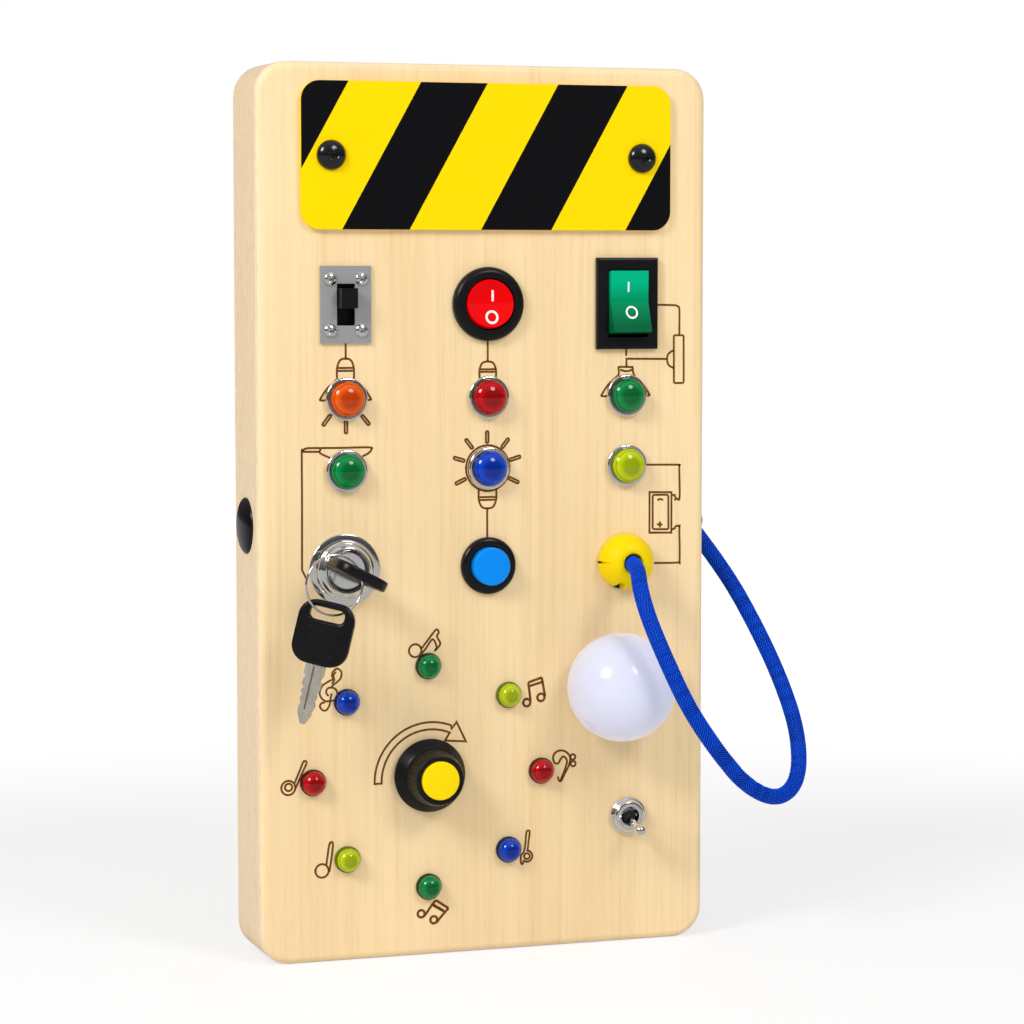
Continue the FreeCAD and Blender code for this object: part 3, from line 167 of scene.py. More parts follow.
def colour_ramp(tree, value, stops, interpolation="LINEAR"):
    node = linked(tree, "ValToRGB", value)
    node.color_ramp.interpolation = interpolation
    elements = node.color_ramp.elements
    while len(elements) < len(stops):
        elements.new(0.5)
    for element, (place, colour) in zip(elements, stops):
        element.position = place
        element.color = (*colour, 1)
    return node.outputs["Color"]


class Finish:
    """A node material around one Principled shader, in the object's own coordinates."""

    def __init__(self, name, roughness, metallic=0.0, coat=0.0, shine=0.2, coat_roughness=0.06):
        self.material = bpy.data.materials.new(name)
        self.material.use_nodes = True
        self.tree = self.material.node_tree
        self.inputs = self.tree.nodes["Principled BSDF"].inputs
        for socket, value in (("Roughness", roughness), ("Metallic", metallic), ("Coat Weight", coat),
                              ("Specular IOR Level", shine), ("Coat Roughness", coat_roughness)):
            self.inputs[socket].default_value = value
        self.place = self.add("TexCoord").outputs["Object"]

    def add(self, kind, *sources, **values):
        return linked(self.tree, kind, *sources, **values)

    def noise(self, scale, detail=3.0, roughness=0.55, distortion=0.0):
        """Noise over the place scaled alike, or along X, Y and Z, in repeats per metre."""
        stretch = self.add("Mapping", self.place)
        stretch.inputs["Scale"].default_value = scale if isinstance(scale, tuple) else (scale,) * 3
        node = self.add("TexNoise", stretch.outputs["Vector"])
        for socket, value in (("Scale", 1.0), ("Detail", detail), ("Roughness", roughness),
                              ("Distortion", distortion)):
            node.inputs[socket].default_value = value
        return node.outputs["Fac"]

    def math(self, operation, *values):
        return self.add("Math", *values, operation=operation).outputs[0]

    def spread(self, value, low, high, to_low, to_high):
        return self.add("MapRange", value, low, high, to_low, to_high).outputs["Result"]

    def ramp(self, value, stops, interpolation="LINEAR"):
        return colour_ramp(self.tree, value, stops, interpolation)

    def mix(self, factor, first, second, blend="MIX"):
        node = self.add("Mix", factor, data_type="RGBA", blend_type=blend)
        for socket, value in zip(node.inputs[MIX_COLOURS], (first, second)):
            if isinstance(value, tuple):
                socket.default_value = (*value, 1)
            else:
                self.tree.links.new(value, socket)
        return node.outputs[MIX_RESULT]

    def axis(self, letter):
        return self.add("SeparateXYZ", self.place).outputs[letter]

    def facing(self, letter):
        """How far the surface faces along an axis, from 0 to 1."""
        normal = self.add("TexCoord").outputs["Normal"]
        return self.math("ABSOLUTE", self.add("SeparateXYZ", normal).outputs[letter])

    def colour(self, value, stops=None):
        self.tree.links.new(self.ramp(value, stops) if stops else value, self.inputs["Base Color"])

    def uneven(self, value, spread, low, high):
        """Roughness that wanders between two values with a noise."""
        wander = self.spread(value, 0.5 - spread, 0.5 + spread, low, high)
        self.tree.links.new(wander, self.inputs["Roughness"])

    def bump(self, height, depth, strength=1.0):
        node = self.add("Bump")
        node.inputs["Strength"].default_value = strength
        node.inputs["Distance"].default_value = depth * MM
        self.tree.links.new(height, node.inputs["Height"])
        self.tree.links.new(node.outputs["Normal"], self.inputs["Normal"])


def plastic(name, colour, roughness=0.35, coat=0.0, grain=0.02, pitch=2500, shine=0.25):
    """Moulded plastic: a fine texture, with colour and gloss that wander a little."""
    finish = Finish(name, roughness, coat=coat, shine=shine)
    wander = finish.noise(60, 4)
    dark = tuple(c * 0.93 for c in colour)
    finish.colour(wander, [(0.35, dark), (0.65, colour)])
    finish.uneven(wander, 0.25, roughness * 0.85, roughness * 1.2)
    finish.bump(finish.noise(pitch, 2), grain, 0.3)
    return finish.material


def metal(name, colour, roughness, brushed=None, wear=0.15, bare=1.0):
    """Plated or bare metal, brushed along an axis where one is given."""
    finish = Finish(name, roughness, metallic=bare)
    brushing = tuple(90 if letter == brushed else 4500 for letter in "XYZ")
    streaks = finish.noise(brushing if brushed else 900, 4)
    cloud = finish.noise(120, 3)
    dark = tuple(c * (1 - wear) for c in colour)
    finish.colour(cloud, [(0.3, dark), (0.6, colour)])
    finish.uneven(streaks, 0.3, roughness * 0.7, roughness * 1.4)
    finish.bump(streaks, 0.01 if brushed else 0.004, 0.25)
    return finish.material


# Plywood: grain on the faces, plies on the edges
WOOD_LIGHT = (0.905, 0.69, 0.395)
WOOD_DARK = (0.850, 0.622, 0.335)
PLY_LIGHT = (0.93, 0.735, 0.49)
PLY_DARK = (0.76, 0.55, 0.35)
PLY_THICK = 1.45


def plywood():
    finish = Finish("birch_plywood", 0.45)
    streaks = finish.noise((420, 60, 7), 6, 0.62, 0.6)
    pores = finish.noise((1900, 300, 55), 3, 0.6)
    broad = finish.noise((26, 20, 2.2), 3, 0.5, 0.8)
    grain = finish.ramp(streaks, [(0.3, WOOD_DARK), (0.52, WOOD_LIGHT), (0.8, (0.915, 0.712, 0.42))])
    shade = finish.ramp(broad, [(0.32, (0.91, 0.885, 0.85)), (0.62, (1.0, 1.0, 1.0))])
    face = finish.mix(1.0, grain, shade, "MULTIPLY")
    flecks = finish.ramp(pores, [(0.30, (0.93, 0.90, 0.86)), (0.42, (1.0, 1.0, 1.0))])
    face = finish.mix(1.0, face, flecks, "MULTIPLY")
    depth = finish.math("DIVIDE", finish.axis("Y"), PLY_THICK * MM)
    wavy = finish.math("ADD", depth, finish.math("MULTIPLY", finish.noise(30, 2), 0.12))
    layer = finish.math("PINGPONG", wavy, 1.0)
    plies = finish.ramp(layer, [(0.0, PLY_DARK), (0.12, PLY_DARK), (0.2, PLY_LIGHT), (0.8, PLY_LIGHT),
                                (1.0, (0.79, 0.58, 0.37))])
    fibres = finish.noise((300, 900, 300), 4)
    plies = finish.mix(1.0, plies, finish.ramp(fibres, [(0.3, (0.9, 0.88, 0.86)), (0.6, (1.0, 1.0, 1.0))]),
                       "MULTIPLY")
    on_face = finish.spread(finish.facing("Y"), 0.55, 0.9, 0.0, 1.0)
    finish.colour(finish.mix(on_face, plies, face))
    finish.uneven(streaks, 0.25, 0.36, 0.5)
    finish.bump(pores, 0.05, 0.35)
    return finish.material


# Diagonal stripes of the top plate: where the black ones start and end along its top edge
STRIPE_TOP = 276.1
STRIPE_LEAN = 0.561
STRIPE_EDGES = [-46.0, -22.3, -0.2, 23.4, 46.4, 71.7]
STRIPE_SPAN = (-100.0, 100.0)
STRIPE_YELLOW = (0.93, 0.655, 0.0)
STRIPE_BLACK = (0.005, 0.005, 0.006)


def striped_plate():
    finish = Finish("striped_plate", 0.34, shine=0.06)
    lean = finish.math("SUBTRACT", STRIPE_TOP * MM, finish.axis("Z"))
    along = finish.math("MULTIPLY_ADD", lean, STRIPE_LEAN, finish.axis("X"))
    share = finish.spread(along, STRIPE_SPAN[0] * MM, STRIPE_SPAN[1] * MM, 0.0, 1.0)
    stops = [(0.0, STRIPE_BLACK)]
    for count, edge in enumerate(STRIPE_EDGES):
        place = (edge - STRIPE_SPAN[0]) / (STRIPE_SPAN[1] - STRIPE_SPAN[0])
        stops.append((place, STRIPE_YELLOW if count % 2 == 0 else STRIPE_BLACK))
    stripes = finish.ramp(share, stops, "CONSTANT")
    on_face = finish.spread(finish.facing("Y"), 0.90, 0.95, 0.0, 1.0)
    finish.colour(finish.mix(on_face, STRIPE_YELLOW, stripes))
    ripple = finish.noise(700, 3)
    finish.uneven(ripple, 0.3, 0.3, 0.4)
    finish.bump(ripple, 0.01, 0.3)
    return finish.material


def lens(name, colour, deep, glow):
    """Coloured clear plastic: painted light (glow) in bands towards its middle, painted shade (deep) at the
    rim.
    """
    finish = Finish(name, 0.07, shine=0.42, coat_roughness=0.02)
    rim = finish.add("Attribute", attribute_name="rim").outputs["Fac"]
    cloud = finish.noise(350, 2)
    place = finish.math("MULTIPLY_ADD", cloud, 0.08, rim)
    # Painted light in the bright bands and painted shade at the rim, by distance from the lens's middle
    finish.colour(place, [(0.0, colour), (0.45, colour), (0.80, glow), (0.86, colour),
                          (0.93, glow), (1.0, deep)])
    return finish.material


def braid():
    """Braided fibre: strands cross along the tube's own turn and length, with painted shade where a strand
    lies low and painted light on its top.
    """
    finish = Finish("blue_braid", 0.5, shine=0.08)
    height = finish.add("Attribute", attribute_name="strand").outputs["Fac"]
    fibres = finish.noise(2600, 3)
    # Painted shade and light: the colour darkens where a strand lies low and brightens on its top
    lit = finish.math("MULTIPLY_ADD", fibres, 0.35, height)
    finish.colour(lit, [(0.3, (0.0, 0.001, 0.022)), (0.72, (0.0, 0.012, 0.20)),
                        (1.15, (0.001, 0.095, 0.85))])
    finish.bump(fibres, 0.05, 0.4)
    return finish.material


def engraved():
    finish = Finish("burnt_line", 0.8, shine=0.0)
    char = finish.noise(800, 4)
    finish.colour(char, [(0.3, (0.10, 0.036, 0.008)), (0.7, (0.20, 0.082, 0.022))])
    finish.bump(char, 0.03, 0.5)
    return finish.material


def globe():
    finish = Finish("milky_globe_painted_glow", 0.2, coat=0.3, shine=0.3)
    cloud = finish.noise(40, 3)
    finish.colour(cloud, [(0.3, (0.49, 0.50, 0.60)), (0.7, (0.53, 0.54, 0.64))])
    # Painted light: a soft glow though the lamp is off, which evens out the globe's shade
    finish.inputs["Emission Color"].default_value = (0.72, 0.74, 0.93, 1)
    finish.inputs["Emission Strength"].default_value = 0.3
    finish.bump(cloud, 0.02, 0.1)
    return finish.material


# The rows of the square rocker between which painted light makes its green lighter upwards
GREEN_PAINTED_LIGHT_ROWS = (200.0, 214.5)


def green_rocker():
    """Green plastic with painted light and shade: lighter towards the top of the rocker, darker towards the
    bottom.
    """
    finish = Finish("green_rocker", 0.45, shine=0.03)
    height = finish.spread(finish.axis("Z"), GREEN_PAINTED_LIGHT_ROWS[0] * MM, GREEN_PAINTED_LIGHT_ROWS[1] * MM, 0.0, 1.0)
    wander = finish.math("MULTIPLY_ADD", finish.noise(120, 3), 0.1, height)
    # Painted shade low on the rocker, painted light high on it
    finish.colour(wander, [(0.0, (0.0, 0.10, 0.032)), (0.5, (0.0, 0.22, 0.085)),
                           (1.0, (0.0, 0.42, 0.21))])
    return finish.material


# Plastics: colour, roughness, coat, depth and pitch of the moulded texture, and gloss
PLASTICS = {
    "black_screw": ((0.006, 0.006, 0.007), 0.16, 0.3, 0.005, 2500, 0.4),
    "black_plastic": ((0.006, 0.006, 0.007), 0.3, 0.0, 0.02, 2500, 0.22),
    "black_gloss": ((0.005, 0.005, 0.006), 0.2, 0.1, 0.004),
    "red_plastic": ((0.80, 0.0, 0.001), 0.3, 0.0, 0.006, 2500, 0.06),
    "blue_plastic": ((0.0, 0.255, 0.86), 0.3, 0.0, 0.01, 2500, 0.12),
    "yellow_plastic": ((0.93, 0.68, 0.0), 0.36, 0.0, 0.015, 2500, 0.1),
    "lamp_white": ((0.78, 0.77, 0.78), 0.35, 0.1),
    "rubber": ((0.016, 0.016, 0.017), 0.55, 0.0, 0.05, 1800),
    "battery_skin": ((0.06, 0.065, 0.08), 0.3, 0.2),
    "circuit": ((0.01, 0.09, 0.035), 0.32, 0.3),
    "nylon": ((0.74, 0.72, 0.66), 0.45),
    # The next colour is painted shade: a dark strip along each key blade where its groove lies in shade
    "key_groove": ((0.13, 0.10, 0.075), 0.5),
    # The next colour is painted shade: a darker red arc where the round rocker's raised step lies in shade
    "rocker_step": ((0.42, 0.0, 0.001), 0.4),
    "mark_white": ((0.86, 0.86, 0.86), 0.4),
}
# Metals: colour, roughness, axis of the brushing, how much darker it wears, and how metallic it is
METALS = {
    "zinc_screw": ((0.88, 0.88, 0.86), 0.14, None, 0.1),
    "switch_plate": ((0.36, 0.365, 0.375), 0.36, "X", 0.06, 0.3),
    "chrome": ((0.86, 0.85, 0.83), 0.09, None, 0.06),
    "key_steel": ((0.56, 0.51, 0.45), 0.26, "Z", 0.2, 0.5),
    "contact": ((0.78, 0.62, 0.32), 0.25),
}
# Lenses: own colour, colour of the painted shade at the very rim, and colour of the painted light in the
# bright bands inside it
LENSES = {
    "orange_lens": ((0.42, 0.038, 0.0), (0.20, 0.016, 0.0), (0.80, 0.11, 0.0)),
    "red_lens": ((0.235, 0.0, 0.001), (0.09, 0.0, 0.001), (0.52, 0.0, 0.004)),
    "green_lens": ((0.0, 0.105, 0.020), (0.0, 0.036, 0.008), (0.0, 0.25, 0.060)),
    "blue_lens": ((0.0, 0.018, 0.24), (0.0, 0.005, 0.08), (0.0, 0.060, 0.56)),
    "lime_lens": ((0.26, 0.34, 0.0), (0.12, 0.17, 0.0), (0.54, 0.62, 0.003)),
}
FINISHES = {"plywood": plywood(), "stripe_plate": striped_plate(), "white_globe": globe(),
            "cord_braid": braid(), "engraving": engraved(), "green_plastic": green_rocker()}
for make, table in ((plastic, PLASTICS), (metal, METALS), (lens, LENSES)):
    FINISHES.update({name: make(name, *values) for name, values in table.items()})


# Meshes. A shape is a pair: points in millimetres, and faces


def piece(name, shape, finish, stands_for=(), body="board", smooth_below=40, attribute=None):
    """A new piece from a shape. It rides on a body and may stand for CAD nodes."""
    points, faces = shape
    mesh = bpy.data.meshes.new(name)
    mesh.from_pydata([tuple(c * MM for c in point) for point in points], [], faces)
    mesh.validate()
    mesh.shade_smooth()
    mesh.set_sharp_from_angle(angle=math.radians(smooth_below))
    mesh.materials.append(FINISHES[finish])
    if attribute is not None:
        layer = mesh.attributes.new(attribute[0], "FLOAT", "POINT")
        layer.data.foreach_set("value", attribute[1])
    thing = bpy.data.objects.new(name, mesh)
    bpy.context.scene.collection.objects.link(thing)
    if body is not None:
        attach(thing, body)
    if stands_for:
        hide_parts(*stands_for)
    return thing
# How far a rounding's handles reach towards its corner, also for corners sharper than a half angle
ROUND_PULL = 0.5523
SHARP_PULL = 0.7
SHARP_HALF = 0.6


def rounded_profile(points, steps=6):
    """A closed outline whose corners with a third value are rounded by that radius."""
    result = []
    for index, point in enumerate(points):
        if len(point) < 3:
            result.append(point)
            continue
        corner = Vector(point[:2])
        before = (Vector(points[index - 1][:2]) - corner).normalized()
        after = (Vector(points[(index + 1) % len(points)][:2]) - corner).normalized()
        half = math.acos(max(-1, min(1, before.dot(after)))) / 2
        reach = point[2] / math.tan(half)
        start, end = corner + before * reach, corner + after * reach
        pull = ROUND_PULL if half > SHARP_HALF else SHARP_PULL
        handles = (start, start.lerp(corner, pull), end.lerp(corner, pull), end)
        curve = interpolate_bezier(*(handle.to_3d() for handle in handles), steps + 1)
        result += [(p.x, p.y) for p in curve]
    return result


def lathe(profile, place, segments=64, shape=None):
    """A closed turning about Y at a place on the face, from a profile of (radius, depth).

    shape(radius, depth, turn) may return a new radius and depth, for ribs and recesses."""
    points, faces, rings = [], [], []
    for radius, depth in profile:
        if radius < TINY:
            rings.append([len(points)] * segments)
            new = shape(0, depth, 0) if shape else (0, depth)
            points.append((place[0], new[1], place[1]))
            continue
        ring = []
        for step in range(segments):
            turn = 2 * math.pi * step / segments
            r, y = shape(radius, depth, turn) if shape else (radius, depth)
            ring.append(len(points))
            points.append((place[0] + r * math.cos(turn), y, place[1] + r * math.sin(turn)))
        rings.append(ring)
    pairs = list(zip(rings, rings[1:]))
    if profile[0][0] > TINY:
        pairs.append((rings[-1], rings[0]))
    for inner, outer in pairs:
        for step in range(segments):
            following = (step + 1) % segments
            corners = list(dict.fromkeys((inner[step], inner[following], outer[following], outer[step])))
            if len(corners) > 2:
                faces.append(corners)
    return points, faces


def joined(parts):
    """Several shapes as one."""
    points, faces = [], []
    for some_points, some_faces in parts:
        shift = len(points)
        points += some_points
        faces += [[index + shift for index in face] for face in some_faces]
    return points, faces

def extruded(outline, thick, edge, holes=()):
    """A flat plate from an outline of (X, Z), with rounded edges. Its middle plane is at y = 0."""
    data = bpy.data.curves.new("plate", "CURVE")
    data.dimensions = "2D"
    data.fill_mode = "BOTH"
    data.extrude = (thick / 2 - edge) * MM
    data.bevel_depth = edge * MM
    data.offset = -edge * MM
    data.bevel_resolution = 2
    for path in (outline, *holes):
        spline = data.splines.new("POLY")
        spline.points.add(len(path) - 1)
        for point, (x, z) in zip(spline.points, path):
            point.co = (x * MM, z * MM, 0, 1)
        spline.use_cyclic_u = True
    points, faces = curve_mesh(data)
    return [(x / MM, -z / MM, y / MM) for x, y, z in points], faces


def box(node):
    """The lowest and the highest corner of a CAD node, in millimetres."""
    return [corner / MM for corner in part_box(node)]


def moved(shape, matrix, shift):
    return [tuple(matrix @ Vector(p) + Vector(shift)) for p in shape[0]], shape[1]


def quarter(radius, tip, foot, steps=14, inner=0.0):
    """The profile of a dome after its tip: radii and depths down to its foot."""
    turns = [math.radians(90 * step / steps) for step in range(1, steps + 1)]
    return [(inner + radius * math.sin(turn), tip + (foot - tip) * (1 - math.cos(turn))) for turn in turns]


def rounded_loop(corners, radius, steps=6):
    return rounded_profile([(x, z, radius) for x, z in corners], steps)


def rectangle(width, height, middle=(0, 0)):
    x, z = middle
    return [(x - width / 2, z - height / 2), (x + width / 2, z - height / 2),
            (x + width / 2, z + height / 2), (x - width / 2, z + height / 2)]


# Flat line work: strokes are (points, closed) in X and Z


def line(*points):
    return list(points), False


def loop(*points):
    return list(points), True


def ring(middle, radius, steps=36):
    return arc(middle, radius, 0, 360, steps)[0][:-1], True


def arc(middle, radius, start, end, steps=24):
    turns = [math.radians(start + (end - start) * step / steps) for step in range(steps + 1)]
    return [(middle[0] + radius * math.cos(t), middle[1] + radius * math.sin(t)) for t in turns], False


def flow(*points, steps=6, closed=False):
    """A smooth line through its points."""
    count = len(points)
    result = []
    for index in range(count if closed else count - 1):
        def at(place):
            return Vector(points[place % count] if closed else points[max(0, min(count - 1, place))])
        p0, p1, p2, p3 = at(index - 1), at(index), at(index + 1), at(index + 2)
        for step in range(steps):
            t = step / steps
            q = ((2 * p1) + (p2 - p0) * t + (2 * p0 - 5 * p1 + 4 * p2 - p3) * t * t
                 + (3 * p1 - p0 - 3 * p2 + p3) * t ** 3) / 2
            result.append((q.x, q.y))
    if not closed:
        result.append(points[-1])
    return result, closed


def capsule(start, end, half):
    """The outline of a bar with round ends."""
    a, b = Vector(start), Vector(end)
    heading = math.degrees(math.atan2(b.y - a.y, b.x - a.x))
    points = arc(end, half, heading - 90, heading + 90, 8)[0]
    points += arc(start, half, heading + 90, heading + 270, 8)[0]
    return points, True


def surface_depth(node, x, z):
    """How deep the front of a CAD node lies at a place on the face, or the face itself beside it."""
    hit, place, _, _ = NODES[node].ray_cast(Vector((x * MM, RAY_START, z * MM)), Vector((0, 1, 0)))
    return place.y / MM if hit else FACE


# The narrowest that a corner's mitre lets a stroke run, as a share
MITRE_SHARE = 0.5


def ribbons(strokes, node, width):
    """Thin bars along strokes, laid on the front of a CAD node."""
    points, faces = [], []
    for path, closed in strokes:
        path = [Vector(p) for p in path]
        count = len(path)
        shift = len(points)
        for index, here in enumerate(path):
            before = path[index - 1] if closed or index else here
            after = path[(index + 1) % count] if closed or index < count - 1 else here
            one = (here - before).normalized() if here != before else (after - here).normalized()
            two = (after - here).normalized() if after != here else one
            side = Vector((-(one.y + two.y), one.x + two.x))
            side = side.normalized() if side.length > TINY else Vector((-one.y, one.x))
            reach = width / 2 / max(MITRE_SHARE, abs(side.dot(Vector((-one.y, one.x)))))
            for edge in (1, -1):
                x, z = here + side * reach * edge
                depth = surface_depth(node, x, z)
                points += [(x, depth - ART_RISE, z), (x, depth + ART_SINK, z)]
        last = count if closed else count - 1
        for index in range(last):
            a = shift + index * 4
            b = shift + (index + 1) % count * 4
            faces += [[a, b, b + 2, a + 2], [a + 1, a + 3, b + 3, b + 1],
                      [a, a + 1, b + 1, b], [a + 2, b + 2, b + 3, a + 3]]
        if not closed:
            a, b = shift, shift + (count - 1) * 4
            faces += [[a, a + 2, a + 3, a + 1], [b, b + 1, b + 3, b + 2]]
    return points, faces


def art(name, strokes, node="front_panel", width=ART_WIDTH, finish="engraving"):
    piece(name, ribbons(strokes, node, width), finish, body=BODY_OF[node], smooth_below=35)


# The engraved signs of the lamps and the battery

# A lamp's screw cap: share of its half width at the end and along a thread, and slant of its shoulder
CAP_END = 0.55
CAP_THREAD = 0.9
CAP_SLANT = 0.4
# One side of the hood over a lamp: across from the lamp's middle and up from the hood's foot
HOOD = [(2.9, 6.3), (5.9, 3.7), (8.0, 0.7), (8.1, 0.0), (6.5, 0.0)]
# Beams of light: half their width, and where those round the middle lamp lie
BEAM_HALF = 0.42
BEAM_TURNS = (90, 52, 17, -25, 128, 163, 205)
BEAM_MIDDLE = Vector((0.3, 155.2))
BEAM_REACH = (8.3, 11.2)
DESK_BEAMS = [((-51.4, 172.3), (-53.3, 169.8)), ((-46.1, 170.5), (-46.1, 167.3)),
              ((-40.7, 172.1), (-38.8, 169.8))]
# The bent arrow over the selector: middle, outer and inner radius, and its turns in degrees
ARROW_MIDDLE = (-18.7, 56.3)
ARROW_OUTER = (18.5, 68, 181)
ARROW_INNER = (16.2, 181, 66.6)
ARROW_HEAD = [(-13.9, 68.7), (-6.9, 68.1), (-10.0, 74.5), (-11.7, 72.3)]


def bulb_cap(middle, top, bottom, half, threads):
    """A lamp's screw cap: rounded at the end away from the lamp, with its thread lines."""
    shoulder = (top + bottom) / 2 + math.copysign(CAP_SLANT, top - bottom)
    sides = flow((middle - half, bottom), (middle - half, shoulder), (middle - half * CAP_END, top),
                 (middle + half * CAP_END, top), (middle + half, shoulder), (middle + half, bottom))
    return [sides] + [line((middle - half * CAP_THREAD, z), (middle + half * CAP_THREAD, z)) for z in threads]


def hood(middle, row):
    """Both sides of the sloping hood over a lamp."""
    return [flow(*((middle + side * across, row + up) for across, up in HOOD)) for side in (-1, 1)]


def make_signs():
    art("engraved_desk_lamp", [
        line((-46.1, 194.9), (-46.1, 189.8)), *bulb_cap(-46.2, 189.9, 183.9, 2.7, (187.3, 186.4)),
        *hood(-46.2, 177.3), *[capsule(start, end, BEAM_HALF) for start, end in DESK_BEAMS]])
    art("engraved_street_lamp", [
        flow((-60.5, 124.5), (-60.4, 146.4), (-60.4, 160.4), (-60.2, 161.7), (-59.0, 162.4), (-57.4, 162.5)),
        flow((-57.4, 162.5), (-48.1, 162.4), (-38.7, 162.4), (-37.9, 161.7), (-38.8, 160.6), (-40.8, 159.6)),
        line((-60.0, 161.4), (-54.6, 161.3)),
        flow((-54.2, 162.2), (-54.7, 161.2), (-53.5, 160.3), (-50.7, 159.1)),
        line((-60.5, 124.5), (-59.1, 121.7))])
    art("engraved_middle_lamp", [line((0.5, 195.6), (0.5, 188.6)),
                                 *bulb_cap(0.5, 188.6, 183.4, 2.7, (186.4, 185.6))])
    beams = []
    for turn in BEAM_TURNS:
        way = Vector((math.cos(math.radians(turn)), math.sin(math.radians(turn))))
        beams.append(capsule(*(BEAM_MIDDLE + way * reach for reach in BEAM_REACH), BEAM_HALF))
    art("engraved_shining_lamp", [*beams, ring((0.5, 155.1), 7.25, 48),
                                  *bulb_cap(0.4, 142.6, 148.4, 2.9, (145.9, 145.0)),
                                  line((0.3, 142.6), (0.3, 133.0))])
    art("engraved_wall_lamp", [
        flow((57.2, 206.5), (63.0, 206.4), (65.1, 206.0), (65.6, 204.5), (65.6, 196.7)),
        loop(*rounded_loop([(63.8, 181.3), (67.2, 181.3), (67.1, 196.7), (63.7, 196.7)], 0.5)),
        flow((63.7, 191.9), (61.9, 190.8), (61.4, 189.1), (61.9, 187.2), (63.7, 186.1)),
        line((61.4, 189.1), (47.4, 189.3), (47.4, 186.6)), line((47.3, 192.7), (47.3, 190.2)),
        flow((44.3, 183.8), (44.8, 184.7), (44.7, 186.4), (45.2, 186.7), (49.0, 186.6), (49.5, 186.4),
             (49.8, 184.5), (50.4, 183.7)),
        flow((45.2, 185.8), (47.3, 185.3), (49.3, 185.7)),
        *hood(47.1, 177.4)])
    art("engraved_battery", [
        flow((53.9, 155.1), (64.6, 154.9), (65.8, 154.6), (65.8, 153.5), (65.9, 144.2), (64.8, 144.0),
             (64.2, 143.3)),
        loop((55.5, 146.2), (63.1, 146.0), (63.1, 132.9), (55.5, 133.1)),
        loop(*rounded_loop([(56.6, 134.2), (62.1, 134.0), (62.0, 145.2), (56.6, 145.3)], 0.6)),
        flow((58.2, 143.5), (59.2, 143.9), (60.2, 143.5)),
        line((58.1, 135.7), (60.0, 135.6)), line((59.1, 136.6), (59.1, 134.7)),
        line((63.1, 145.1), (64.2, 145.1), (64.4, 144.2)),
        flow((63.1, 133.9), (64.2, 134.2), (64.6, 134.9), (65.9, 135.0), (65.9, 133.7), (66.0, 123.9),
             (65.1, 123.1), (57.1, 123.2))])
    art("engraved_turn_arrow", [
        (arc(ARROW_MIDDLE, *ARROW_OUTER, 40)[0] + arc(ARROW_MIDDLE, *ARROW_INNER, 40)[0] + ARROW_HEAD, True)])


# The engraved notes round the selector


